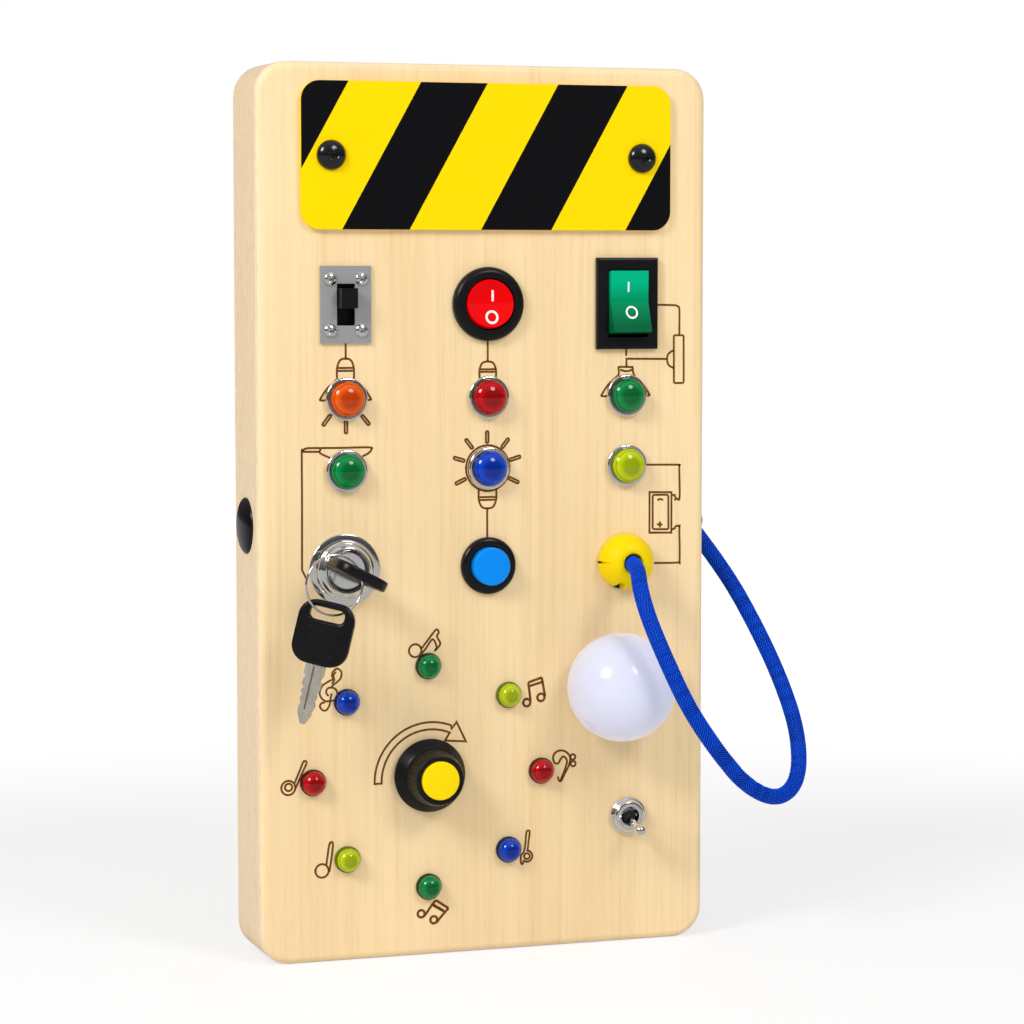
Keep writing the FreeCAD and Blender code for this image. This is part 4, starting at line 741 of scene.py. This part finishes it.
def make_notes():
    art("engraved_notes", [
        ring((-23.7, 97.8), 2.05),
        flow((-21.6, 98.4), (-19.5, 101.0), (-16.8, 104.2), (-15.9, 103.3), (-16.5, 102.1), (-15.4, 99.9),
             (-16.0, 98.7), (-17.1, 97.7), (-16.6, 98.8), (-17.9, 101.2), (-20.1, 98.5), (-21.9, 96.4)),
        ring((-54.5, 29.3), 2.15),
        flow((-53.1, 30.9), (-52.5, 35.2), (-52.0, 37.7), (-51.4, 38.3), (-50.9, 37.6), (-51.3, 33.9),
             (-51.8, 30.7), (-52.2, 28.8)),
        ring((-65.3, 56.2), 2.25), ring((-65.2, 56.4), 1.15),
        flow((-63.3, 57.6), (-61.7, 61.2), (-60.5, 64.0), (-59.9, 64.4), (-59.4, 63.7), (-61.2, 59.8),
             (-63.1, 55.7)),
        arc((13.7, 29.9), 1.8, 95, -140), ring((13.7, 29.9), 0.95),
        flow((12.5, 28.1), (12.1, 27.4), (11.6, 28.3), (11.7, 30.3), (12.7, 31.5), (13.2, 34.5),
             (13.5, 37.7), (14.1, 38.2), (14.6, 37.6), (14.2, 34.5), (13.9, 31.7)),
        flow((22.5, 61.3), (22.9, 62.5), (24.0, 63.4), (25.4, 63.6), (26.9, 63.1), (27.9, 62.2),
             (28.4, 61.1), (28.3, 59.9), (27.9, 58.5), (26.6, 56.1), (25.5, 54.0), (24.9, 53.6),
             (24.4, 54.2), (24.2, 55.2)),
        flow((22.5, 61.3), (23.0, 59.8), (23.8, 59.4), (24.6, 59.8), (25.1, 60.8), (26.0, 61.6),
             (26.9, 61.0), (27.3, 59.9), (27.0, 58.6), (26.2, 56.4), (25.1, 53.9)),
        ring((29.3, 61.3), 0.85), ring((29.4, 59.1), 0.85)])
    art("engraved_pairs", [
        ring((13.6, 79.6), 1.2), ring((18.4, 81.1), 1.2),
        line((14.9, 80.1), (14.1, 86.1)), line((19.8, 81.4), (18.7, 87.5)),
        line((14.1, 86.1), (18.7, 87.5)), line((14.5, 84.9), (19.0, 86.1)),
        ring((-21.9, 13.5), 1.15), ring((-17.7, 11.3), 1.15),
        flow((-21.0, 12.6), (-20.0, 13.8), (-18.5, 15.9), (-17.0, 17.6)),
        flow((-16.8, 10.4), (-15.5, 11.9), (-13.8, 13.7), (-12.8, 14.7)),
        line((-17.0, 17.6), (-12.8, 14.7)), line((-17.8, 15.9), (-14.2, 13.7)),
        line((-18.0, 16.2), (-14.4, 14.0))], width=THICK_ART)
    art("engraved_clef", [
        flow((-49.3, 93.3), (-50.6, 92.3), (-51.0, 91.0), (-50.7, 89.9), (-52.1, 89.2), (-54.1, 87.9),
             (-55.0, 85.9), (-54.6, 84.3), (-53.3, 83.1), (-51.7, 83.0), (-50.0, 83.4), (-49.3, 85.0),
             (-49.7, 86.5), (-50.9, 87.2), (-52.4, 87.0), (-52.9, 85.7), (-52.1, 84.6)),
        flow((-49.3, 93.3), (-48.1, 92.3), (-47.9, 91.1), (-48.4, 89.7), (-50.1, 88.4), (-51.2, 87.5)),
        flow((-51.1, 85.4), (-51.5, 83.7), (-51.7, 82.1), (-52.6, 80.4), (-53.8, 80.1), (-54.9, 81.2),
             (-54.5, 82.4), (-53.3, 82.6)),
        flow((-49.7, 92.2), (-50.5, 91.0), (-50.3, 89.5), (-51.1, 88.4))], width=THIN_ART)


# Marks on the rockers, laid on their faces, and painted shade along the round rocker's step

STEP_WIDTH = 0.35
ROUND_MARK_WIDTH = 0.72
SQUARE_MARK_WIDTH = 0.6


def make_rocker_marks():
    # Painted shade: a darker red arc where the round rocker's raised step lies in shade
    art("round_rocker_step", [arc((0.9, 206.4), 6.4, 48, 200, 30)], "red_rocker", STEP_WIDTH, "rocker_step")
    art("round_rocker_marks", [line((1.2, 211.4), (1.2, 207.9)), ring((0.7, 202.9), 1.8)],
        "red_rocker", ROUND_MARK_WIDTH, "mark_white")
    art("square_rocker_marks", [line((46.8, 213.9), (46.8, 210.7)), ring((47.5, 204.2), 1.75)],
        "green_rocker", SQUARE_MARK_WIDTH, "mark_white")


# Screws: domed or flat heads with a cross recess

# Cross recess: how wide a bar is as a share of its reach, and its turn
FRONT_CROSS = (0.24, 0.5)
BACK_CROSS = (0.25, 0.4)
# How much of a full dome a head has, and how far a recess rises towards its ends
DOME_SHARE = 0.96
DOME_STEPS = 16
DOME_CROSS_RISE = 0.6
FLAT_STEPS = 14
FLAT_CROSS_RISE = 0.5
FLAT_EDGE = 0.15
# Domed screws: depth of the surface below, radius, height, reach and cut of the cross, and segments
PLATE_SCREW = (-1.8, 4.65, 2.8, 1.9, 0.3, 72)
PLATE_SCREW_PLACES = [(-51.0, 253.2), (51.8, 253.2)]
SWITCH_SCREW = (-1.0, 2.1, 1.1, 1.25, 0.65, 48)
SWITCH_SCREW_PLACES = [(x, z) for x in (-51.2, -41.2) for z in (199.0, 215.0)]


def in_cross(r, turn, cross, style):
    """Whether a place on a head lies in its cross recess."""
    bar, lean = style
    return r < cross and min(abs(r * math.cos(turn + lean)), abs(r * math.sin(turn + lean))) < cross * bar


def dome_screw(place, depth, radius, height, cross, cut, segments):
    """A domed head on a depth, with a cross recess cut by a share of its height."""
    def shape(r, y, turn):
        if in_cross(r, turn, cross, FRONT_CROSS):
            y += height * cut * (1 - (r / cross) ** 2 * DOME_CROSS_RISE)
        return r, y

    profile = [(0, depth - height)]
    for step in range(1, DOME_STEPS + 1):
        share = step / DOME_STEPS
        profile.append((radius * share, depth - height * math.sqrt(1 - share ** 2 * DOME_SHARE)))
    return lathe(profile + [(radius, depth), (0, depth)], place, segments, shape)


def make_screws():
    heads = [dome_screw(place, *PLATE_SCREW) for place in PLATE_SCREW_PLACES]
    piece("dome_screws", joined(heads), "black_screw", ("plate_screws",))
    heads = [dome_screw(place, *SWITCH_SCREW) for place in SWITCH_SCREW_PLACES]
    piece("plate_corner_screws", joined(heads), "zinc_screw", ("slide_switch_screws",))


# Lamps: radius and reach of their domes, and what holds them

BIG_LENS = (5.75, 5.7)
SMALL_LENS = (3.95, 4.6)
SMALL_COLLAR = [(4.2, -0.9), (4.2, 0.0), (0, 0.0)]
BIG_NECK = [(5.3, -1.9), (5.3, 1.0), (0, 1.0)]
SMALL_FOOT = -0.9
BIG_FOOT = -1.95
LENS_SEGMENTS = 48


def make_lenses(name, places, size, foot, holder, node, finish):
    radius, reach = size
    profile = [(0, -reach)] + quarter(radius, -reach, foot) + holder
    parts = [lathe(profile, place, LENS_SEGMENTS) for place in places]
    # Distance from each lens's middle, which places the lens's painted light and shade
    rim = []
    for (x, z), (points, _) in zip(places, parts):
        rim += [min(1.0, math.hypot(p[0] - x, p[2] - z) / radius) for p in points]
    piece(name, joined(parts), finish, (node,), smooth_below=50, attribute=("rim", rim))


def make_lamps():
    for node, places in BIG_LAMPS.items():
        make_lenses(node + "_domes", places, BIG_LENS, BIG_FOOT, BIG_NECK, node, node)
    for number, colour in enumerate(SMALL_RING_COLOURS):
        places = []
        for step in (number, number + len(SMALL_RING_COLOURS)):
            turn = math.radians(45 * step)
            places.append((SMALL_RING_CENTRE[0] + SMALL_RING_HALF[0] * round(math.cos(turn), 6),
                           SMALL_RING_CENTRE[1] + SMALL_RING_HALF[1] * round(math.sin(turn), 6)))
        make_lenses("small_" + colour + "_domes", places, SMALL_LENS, SMALL_FOOT, SMALL_COLLAR,
                    colour + "_small_lamps", colour + "_lens")


# Rotary selector: radius, depth and rounding of its profiles, and the ribs round its side

KNOB_PROFILE = [(3.1, -3.2), (3.1, -0.6), (11.4, -0.6, 0.4), (11.75, -2.2, 0.5), (9.4, -4.6, 0.8),
                (8.9, -5.0), (8.75, -7.0), (8.5, -9.0), (8.2, -11.0), (8.0, -12.1), (7.7, -13.2, 0.5),
                (6.4, -13.2, 0.2), (6.3, -12.0), (3.1, -12.0)]
KNOB_CAP_PROFILE = [(0, -14.0), (2.0, -14.0), (4.5, -13.97), (6.1, -13.85, 0.35), (6.1, -12.2), (0, -12.2)]
RIB_COUNT = 36
RIB_HEIGHT = 0.22
RIB_RADII = (7.6, 9.2)
RIB_DEPTHS = (-12.0, -5.2)


def make_knob():
    def ribbed(r, y, turn):
        if RIB_RADII[0] < r < RIB_RADII[1] and RIB_DEPTHS[0] < y < RIB_DEPTHS[1]:
            r += RIB_HEIGHT * math.cos(RIB_COUNT * turn)
        return r, y

    knob = lathe(rounded_profile(KNOB_PROFILE), SELECTOR_PLACE, 216, ribbed)
    piece("ribbed_knob", knob, "black_plastic", ("selector_knob",), "selector")
    cap = lathe(rounded_profile(KNOB_CAP_PROFILE), SELECTOR_PLACE, 96)
    piece("knob_cap", cap, "yellow_plastic", ("selector_knob_cap",), "selector")


# Plug: a dome round the cord, with notches in its edge given by turn, half width in degrees and depth

PLUG_NOTCHES = [(180, 2.5, 0.9), (-8, 7, 1.1), (33, 2, 0.6), (-112, 9, 1.5)]
NOTCH_START = 7.2
NOTCH_SPAN = 1.45
NOTCH_FLANK = 1.5
PLUG_MOUTH = [(0, -3.0), (3.2, -3.0), (3.2, -8.9), (3.5, -9.1)]
PLUG_SKIRT = [(9.0, -1.5), (9.0, -0.2), (8.95, -0.15), (8.95, -1.5), (0, -1.5)]


def make_plug():
    def notched(r, y, turn):
        for middle, half, depth in PLUG_NOTCHES:
            off = abs((math.degrees(turn) - middle + 180) % 360 - 180)
            if off < half and r > NOTCH_START:
                r -= depth * min(1.0, (half - off) / NOTCH_FLANK) * (r - NOTCH_START) / NOTCH_SPAN
        return r, y

    profile = PLUG_MOUTH + quarter(5.5, -9.1, -1.5, inner=3.5) + PLUG_SKIRT
    piece("plug_dome", lathe(profile, PLUG_PLACE, 240, notched), "yellow_plastic", ("plug_head",), "plug")


# Keys: a head with the ring's slot and a rim round a sunk patch, a blade that hangs from it, and painted
# shade along the blade's groove

KEY_THICK = 3.4
KEY_HEAD = rounded_loop(rectangle(17.8, 19.8, (0, -7.8)), 5.6, 8)
KEY_SLOT = rounded_loop(rectangle(11.0, 4.0, (0, -2.0)), 1.7)
PATCH_RISE = 0.24
PATCH_OUTSIDE = rounded_loop(rectangle(10.6, 9.2, (0, -10.6)), 2.4)
PATCH_INSIDE = rounded_loop(rectangle(10.0, 8.6, (0, -10.6)), 2.1)
BLADE_TOP = -17.8
BLADE_THICK = 1.9
BLADE_TEETH = [(-3.1, 0), (-3.1, 3.0), (-2.3, 3.8), (-2.9, 5.0), (-2.9, 6.4), (-2.1, 7.2), (-2.7, 8.4),
               (-2.0, 9.6), (-2.5, 10.8), (-2.0, 12.2), (-2.4, 13.4), (-2.2, 15.2), (-0.7, 18.4),
               (0.7, 18.4), (2.0, 15.8), (2.2, 14.0), (2.7, 12.4), (2.1, 11.0), (2.6, 9.8), (2.2, 8.6),
               (3.0, 7.4), (3.1, 5.4), (2.4, 4.2), (3.1, 2.8), (3.1, 0)]
# Painted shade of the blade's groove: outline and thickness of a dark strip that stands a little proud of the
# blade
GROOVE = rounded_loop(rectangle(0.6, 13.4, (-0.3, BLADE_TOP - 7.2)), 0.25, 4)
GROOVE_THICK = 1.98
# How the keys hang: turn of the lock key, and lean and twist of the spare key at the ring's lowest point
LOCK_KEY_DEPTH = -22.2
LOCK_KEY_TURN = 28
SPARE_LEAN = math.radians(14)
SPARE_TWIST = -28
SPARE_HOOK = Vector((-58.055, -21.035, 112.523))
SPARE_DROP = 2.05


def make_key(prefix, node, body, at, turn):
    head = joined([extruded(KEY_HEAD, KEY_THICK, 0.8, [KEY_SLOT]),
                   extruded(PATCH_OUTSIDE, KEY_THICK + PATCH_RISE, 0.1, [PATCH_INSIDE])])
    blade = extruded([(x, BLADE_TOP - down) for x, down in BLADE_TEETH], BLADE_THICK, 0.12)
    # Painted shade: a dark strip where the blade's groove lies in shade
    groove_painted_shade = extruded(GROOVE, GROOVE_THICK, 0.05)
    piece(prefix + "_head", moved(head, turn, at), "black_plastic", (node + "_head",), body)
    piece(prefix + "_blade", moved(blade, turn, at), "key_steel", (node + "_blade",), body)
    piece(prefix + "_groove", moved(groove_painted_shade, turn, at), "key_groove", (), body)


def make_keys():
    turn = Matrix.Rotation(math.radians(LOCK_KEY_TURN), 3, "Y") @ Matrix.Rotation(math.radians(90), 3, "X")
    at = (KEY_PLACE[0], LOCK_KEY_DEPTH, KEY_PLACE[1])
    make_key("lock_key", "inserted_key", "lock_core", at, turn)
    turn = Matrix.Rotation(SPARE_LEAN, 3, "Y") @ Matrix.Rotation(math.radians(SPARE_TWIST), 3, "Z")
    at = SPARE_HOOK + Vector((math.sin(SPARE_LEAN), 0, math.cos(SPARE_LEAN))) * SPARE_DROP
    make_key("spare_key", "spare_key", "spare_key", at, turn)


def tube(line_points, radius, segments, shape=None):
    """A tube along points, with a steady frame, and a value for each of its points.

    shape(travelled, turn) may give the radius and the value."""
    centres = [Vector(p) for p in line_points]
    last = len(centres) - 1
    points, faces, values = [], [], []
    side = None
    travelled = 0.0
    for index, here in enumerate(centres):
        if index:
            travelled += (here - centres[index - 1]).length
        ahead = (centres[min(index + 1, last)] - centres[max(index - 1, 0)]).normalized()
        if side is None:
            side = ahead.orthogonal().normalized()
        side = (side - ahead * side.dot(ahead)).normalized()
        other = ahead.cross(side)
        for step in range(segments):
            turn = 2 * math.pi * step / segments
            r, value = shape(travelled, turn) if shape else (radius, 0.0)
            points.append(tuple(here + (side * math.cos(turn) + other * math.sin(turn)) * r))
            values.append(value)
    for index in range(last):
        for step in range(segments):
            following = (step + 1) % segments
            a, b = index * segments, (index + 1) * segments
            faces.append([a + step, a + following, b + following, b + step])
    faces.append(list(range(segments - 1, -1, -1)))
    faces.append([last * segments + step for step in range(segments)])
    return (points, faces), values


# Split ring: two turns of wire, of which the middle crosses from one layer to the other

RING_CENTRE = Vector((-55.818, -20.8, 121.547))
RING_SKEW = math.radians(6)
RING_WIRE = 0.32
RING_RADIUS = 9.3
RING_TURNS = 2
RING_STEPS = 180
RING_START = 0.9
RING_LAYER = RING_WIRE * 1.02
RING_SLOPE = RING_WIRE * 4.1


def make_ring():
    across = Vector((math.cos(RING_SKEW), math.sin(RING_SKEW), 0))
    out = Vector((-math.sin(RING_SKEW), math.cos(RING_SKEW), 0))
    route = []
    for step in range(RING_STEPS + 1):
        share = step / RING_STEPS
        turn = 2 * math.pi * RING_TURNS * share + RING_START
        lift = max(-RING_LAYER, min(RING_LAYER, (share - 0.5) * RING_SLOPE))
        circle = across * math.cos(turn) + Vector((0, 0, math.sin(turn)))
        route.append(RING_CENTRE + circle * RING_RADIUS + out * lift)
    piece("split_ring", tube(route, RING_WIRE, 12)[0], "chrome", ("key_ring",), "ring", 60)


# Cord: strands cross each other round it, and lie lower where another is on top

BRAID_STRANDS = 16
BRAID_PITCH = 17.0
BRAID_DEPTH = 0.42
BRAID_STEP = 0.32
BRAID_SEGMENTS = 64


def make_cord():
    path = centre_line(CORD_ROUTE)
    dense = []
    for first, second in zip(path, path[1:]):
        steps = max(1, round((second - first).length / MM / BRAID_STEP))
        dense += [first.lerp(second, step / steps) / MM for step in range(steps)]
    dense.append(path[-1] / MM)

    def woven(travelled, turn):
        along = 2 * math.pi * travelled / BRAID_PITCH
        left = math.sin(BRAID_STRANDS / 2 * (turn + along))
        right = math.sin(BRAID_STRANDS / 2 * (turn - along))
        height = abs(left) if left * right > 0 else abs(right)
        return CORD_RADIUS - BRAID_DEPTH * (1 - height), height

    # The strand heights also place the braid's painted shade and light
    shape, strand = tube(dense, CORD_RADIUS, BRAID_SEGMENTS, woven)
    cord = piece("braided_cord", shape, "cord_braid", ("cord",), None, 60, ("strand", strand))
    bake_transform(cord)


# Back: its screws, and the battery cover with a raised rim round a sunk field with grip ribs

# Screws: radius of the head, depth of its cone, radius and length of the shank, and reach of the cross
BACK_SCREW = (3.0, 1.6, 1.5, 14.0, 1.9)
COVER_SCREW = (2.0, 1.2, 1.2, 8.0, 1.25)
BACK_ROWS = (20.0, 100.0, 180.0, 260.0)
COVER_GAP = 0.2
COVER_CORNER = 1.2
COVER_RIM = 0.8
COVER_EDGE = 0.1
COVER_HOLE = 1.5
COVER_SINK = 2.1
FIELD_LESS = (16, 7)
FIELD_CORNER = 2.0
GRIP_RIB = (24, 1.0)
GRIP_CORNER = 0.45
GRIP_THICK = 0.7
GRIP_SUNK = 0.47
GRIP_PITCH = 2.4
GRIP_COUNT = 9


def flat_screw(place, face, radius, sunk, shank, length, cross):
    """A countersunk screw seen from the back, with a cross recess."""
    def shape(r, y, turn):
        if y > face - TINY and in_cross(r, turn, cross, BACK_CROSS):
            y -= sunk / 2 * (1 - (r / cross) ** 2 * FLAT_CROSS_RISE)
        return r, y

    profile = [(radius * step / FLAT_STEPS, face) for step in range(FLAT_STEPS)]
    profile += [(radius, face - FLAT_EDGE), (shank, face - sunk), (shank, face - length), (0, face - length)]
    return lathe(profile, place, 64, shape)


def make_back_screws(name, node, size, rows):
    """Screws in two columns at the ends of their node's box."""
    low, high = box(node)
    columns = (low.x + size[0], high.x - size[0])
    screws = [flat_screw((x, row), high.y, *size) for x in columns for row in rows]
    piece(name, joined(screws), "zinc_screw", (node,))


def make_battery_cover():
    low, high = box("battery_cover")
    middle, size = (low + high) / 2, high - low
    outline = rounded_loop(rectangle(size.x - COVER_GAP, size.z - COVER_GAP), COVER_CORNER)
    field = rounded_loop(rectangle(size.x - FIELD_LESS[0], size.z - FIELD_LESS[1]), FIELD_CORNER)
    screw_low, screw_high = box("battery_cover_screws")
    reach = (screw_high.x - screw_low.x) / 2 - COVER_SCREW[0]
    holes, sinks = ([ring((side * reach, 0), radius)[0] for side in (-1, 1)]
                    for radius in (COVER_HOLE, COVER_SINK))
    plate = extruded(outline, size.y - COVER_RIM, COVER_EDGE, holes)
    rim = extruded(outline, COVER_RIM, COVER_EDGE, [field] + sinks)
    bar = extruded(rounded_loop(rectangle(*GRIP_RIB), GRIP_CORNER, 4), GRIP_THICK, 0.2)
    parts = [(plate, (size.y + COVER_RIM) / 2, 0), (rim, COVER_RIM / 2, 0)]
    parts += [(bar, GRIP_SUNK, (count - GRIP_COUNT // 2) * GRIP_PITCH) for count in range(GRIP_COUNT)]
    placed = [moved(shape, Matrix.Identity(3), (middle.x, high.y - depth, middle.z + lift))
              for shape, depth, lift in parts]
    piece("ribbed_cover", joined(placed), "black_plastic", ("battery_cover",))


def make_back():
    make_back_screws("back_cross_screws", "back_screws", BACK_SCREW, BACK_ROWS)
    low, high = box("battery_cover_screws")
    make_back_screws("cover_cross_screws", "battery_cover_screws", COVER_SCREW, [(low.z + high.z) / 2])
    make_battery_cover()


# Push button: the coil spring behind its cap

SPRING_TURNS = 5
SPRING_STEPS = 120
SPRING_WIRE = 0.35
SPRING_THIN = 0.97
SPRING_RADIUS = 3.4


def make_spring():
    low, high = box("push_button_spring")
    middle, length = (low + high) / 2, high.y - low.y
    start, end = low.y + SPRING_WIRE, high.y - SPRING_WIRE
    route = []
    for step in range(SPRING_STEPS + 1):
        share = step / SPRING_STEPS
        turn = 2 * math.pi * SPRING_TURNS * share
        route.append((middle.x + SPRING_RADIUS * math.cos(turn), start + (end - start) * share,
                      middle.z + SPRING_RADIUS * math.sin(turn)))
    coil = tube(route, SPRING_WIRE * SPRING_THIN, 10)[0]
    spring = piece("coil_spring", coil, "zinc_screw", ("push_button_spring",), smooth_below=60)
    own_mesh(spring)


# Key lock: a washer, a rounded stepped ring and the barrel behind the face, by radius and depth

LOCK_PROFILE = [(5.55, -3.2), (6.1, -3.2), (6.5, -3.5), (6.5, -4.1), (6.75, -4.38), (7.15, -4.4), (7.5, -4.2),
                (7.75, -3.75), (8.1, -3.35), (8.6, -3.2), (9.0, -2.9), (9.25, -2.4), (9.3, -1.7), (9.3, -0.8),
                (11.0, -0.8), (11.35, -0.7), (11.5, -0.4), (11.5, 0), (8.0, 0), (8.0, 17.0), (5.55, 17.0)]

# Toggle switch: its round ring nut and the dark boot round the foot of its lever

TOGGLE_PIVOT = (48.0, 0.5, 41.4)
TOGGLE_LEAN = 14.0
NUT_PROFILE = [(3.95, 0), (6.3, 0), (6.3, -0.7), (6.15, -1.2), (5.8, -1.65), (5.35, -1.9), (5.1, -2.1),
               (4.95, -2.5), (4.7, -2.85), (4.35, -3.0), (3.95, -3.0)]
BOOT_PROFILE = [(0, -3.0), (1.3, -2.9), (2.3, -2.2), (2.35, -1.9), (0, -1.9)]


def make_lock_and_toggle():
    piece("lock_ring", lathe(LOCK_PROFILE, KEY_PLACE, 96), "chrome", ("key_lock_housing",), smooth_below=50)
    nut = lathe(NUT_PROFILE, (TOGGLE_PIVOT[0], TOGGLE_PIVOT[2]), 72)
    piece("toggle_ring", nut, "chrome", ("toggle_ring_nut",), smooth_below=75)
    turn = Matrix.Rotation(math.radians(TOGGLE_LEAN), 3, "X")
    boot = moved(lathe(BOOT_PROFILE, (0, 0), 48), turn, TOGGLE_PIVOT)
    piece("toggle_boot", boot, "rubber", (), "toggle")


# Side cap: a dome pressed into the left side

SIDE_WALL = -74.5
SIDE_CAP_RADIUS = 8.9
SIDE_CAP_STEM = 4.0


def make_side_cap():
    low, high = box("side_cap")
    middle = (low + high) / 2
    profile = [(0, low.x)] + quarter(SIDE_CAP_RADIUS, low.x, SIDE_WALL, 16)
    profile += [(SIDE_CAP_STEM, SIDE_WALL + 0.01), (SIDE_CAP_STEM, high.x), (0, high.x)]
    points, faces = lathe(profile, (0, 0), 96)
    points = [(y, middle.y + x, middle.z + z) for x, y, z in points]
    piece("side_dome", (points, faces), "black_gloss", ("side_cap",))


# Floor, backdrop and light

# The floor's own white that the camera sees: distance and share, near the board and far from it
FLOOR_SHARE = (0.28, 0.65, 0.57, 1.0)
FLOOR_GLOW = 1.10
FLOOR_MIRRORED = 0.48
FLOOR_COLOUR = (0.85, 0.85, 0.85, 1)
FLOOR_ROUGHNESS = 0.6
FLOOR_HALF = 3.0
WHITE = (1, 1, 1, 1)
FILL_LEVEL = 0.55
# The grey that reflections find by how far they look up
MIRRORED_SKY = [(0.0, 0.05), (0.25, 0.16), (0.6, 0.30), (1.0, 0.60)]
# Lamps: turn from the front and height in degrees, distance and size in metres, and power in watts
LAMP_AIM = Vector((0, 0, 0.14))
LAMPS = {"left_box": (-58, 34, 1.5, 0.5, 11.5), "right_box": (23, 38, 1.5, 0.5, 6.5)}


def make_stage():
    finish = bpy.data.materials.new("studio_floor")
    finish.use_nodes = True
    tree = finish.node_tree
    shader = tree.nodes["Principled BSDF"]
    shader.inputs["Base Color"].default_value = FLOOR_COLOUR
    shader.inputs["Roughness"].default_value = FLOOR_ROUGHNESS
    rays = linked(tree, "LightPath").outputs
    place = linked(tree, "TexCoord").outputs["Object"]
    away = linked(tree, "VectorMath", place, operation="LENGTH").outputs["Value"]
    share = linked(tree, "MapRange", away, *FLOOR_SHARE).outputs["Result"]
    seen = linked(tree, "Math", rays["Is Camera Ray"], share, operation="MULTIPLY").outputs[0]
    glow = linked(tree, "Emission", None, FLOOR_GLOW).outputs[0]
    mirrored = linked(tree, "Emission", None, FLOOR_MIRRORED).outputs[0]
    shown = linked(tree, "MixShader", seen, shader.outputs[0], glow).outputs[0]
    last = linked(tree, "MixShader", rays["Is Glossy Ray"], shown, mirrored).outputs[0]
    tree.links.new(last, tree.nodes["Material Output"].inputs["Surface"])
    mesh = bpy.data.meshes.new("floor")
    corners = [(x * FLOOR_HALF, y * FLOOR_HALF, 0) for x, y in ((-1, -1), (1, -1), (1, 1), (-1, 1))]
    mesh.from_pydata(corners, [], [(0, 1, 2, 3)])
    mesh.materials.append(finish)
    floor = bpy.data.objects.new("floor", mesh)
    bpy.context.scene.collection.objects.link(floor)


def make_world():
    """White for the camera, an even fill, and a sky for reflections that gets darker downwards."""
    world = bpy.data.worlds.new("studio")
    bpy.context.scene.world = world
    world.use_nodes = True
    tree = world.node_tree
    shown = tree.nodes["Background"]
    shown.inputs["Color"].default_value = WHITE
    rays = linked(tree, "LightPath").outputs
    fill = linked(tree, "Background", WHITE, FILL_LEVEL).outputs[0]
    way = linked(tree, "SeparateXYZ", linked(tree, "TexCoord").outputs["Generated"])
    sky = colour_ramp(tree, way.outputs["Z"], [(place, (level,) * 3) for place, level in MIRRORED_SKY])
    mirrored = linked(tree, "Background", sky).outputs[0]
    clear = linked(tree, "Math", rays["Is Camera Ray"], rays["Is Transmission Ray"],
                   operation="MAXIMUM").outputs[0]
    lit = linked(tree, "MixShader", rays["Is Glossy Ray"], fill, mirrored).outputs[0]
    last = linked(tree, "MixShader", clear, lit, shown.outputs[0]).outputs[0]
    tree.links.new(last, tree.nodes["World Output"].inputs["Surface"])


def make_lamp(name, azimuth, elevation, distance, size, power):
    data = bpy.data.lights.new(name, "AREA")
    data.shape = "DISK"
    data.size = size
    data.energy = power
    lamp = bpy.data.objects.new(name, data)
    bpy.context.scene.collection.objects.link(lamp)
    a, e = math.radians(azimuth), math.radians(elevation)
    back = Vector((math.sin(a) * math.cos(e), -math.cos(a) * math.cos(e), math.sin(e)))
    lamp.location = LAMP_AIM + back * distance
    lamp.rotation_euler = (-back).to_track_quat("-Z", "Y").to_euler()


def dress_nodes():
    for name, node in NODES.items():
        node.data.materials.clear()
        node.data.materials.append(FINISHES[SLOT_OF[name]])


make_camera()
make_plug()
make_cord()
dress_nodes()
make_signs()
make_notes()
make_rocker_marks()
make_screws()
make_lamps()
make_knob()
make_keys()
make_ring()
make_back()
make_spring()
make_lock_and_toggle()
make_side_cap()
make_stage()
make_world()
for name, values in LAMPS.items():
    make_lamp(name, *values)

bpy.context.scene.view_settings.view_transform = "Standard"
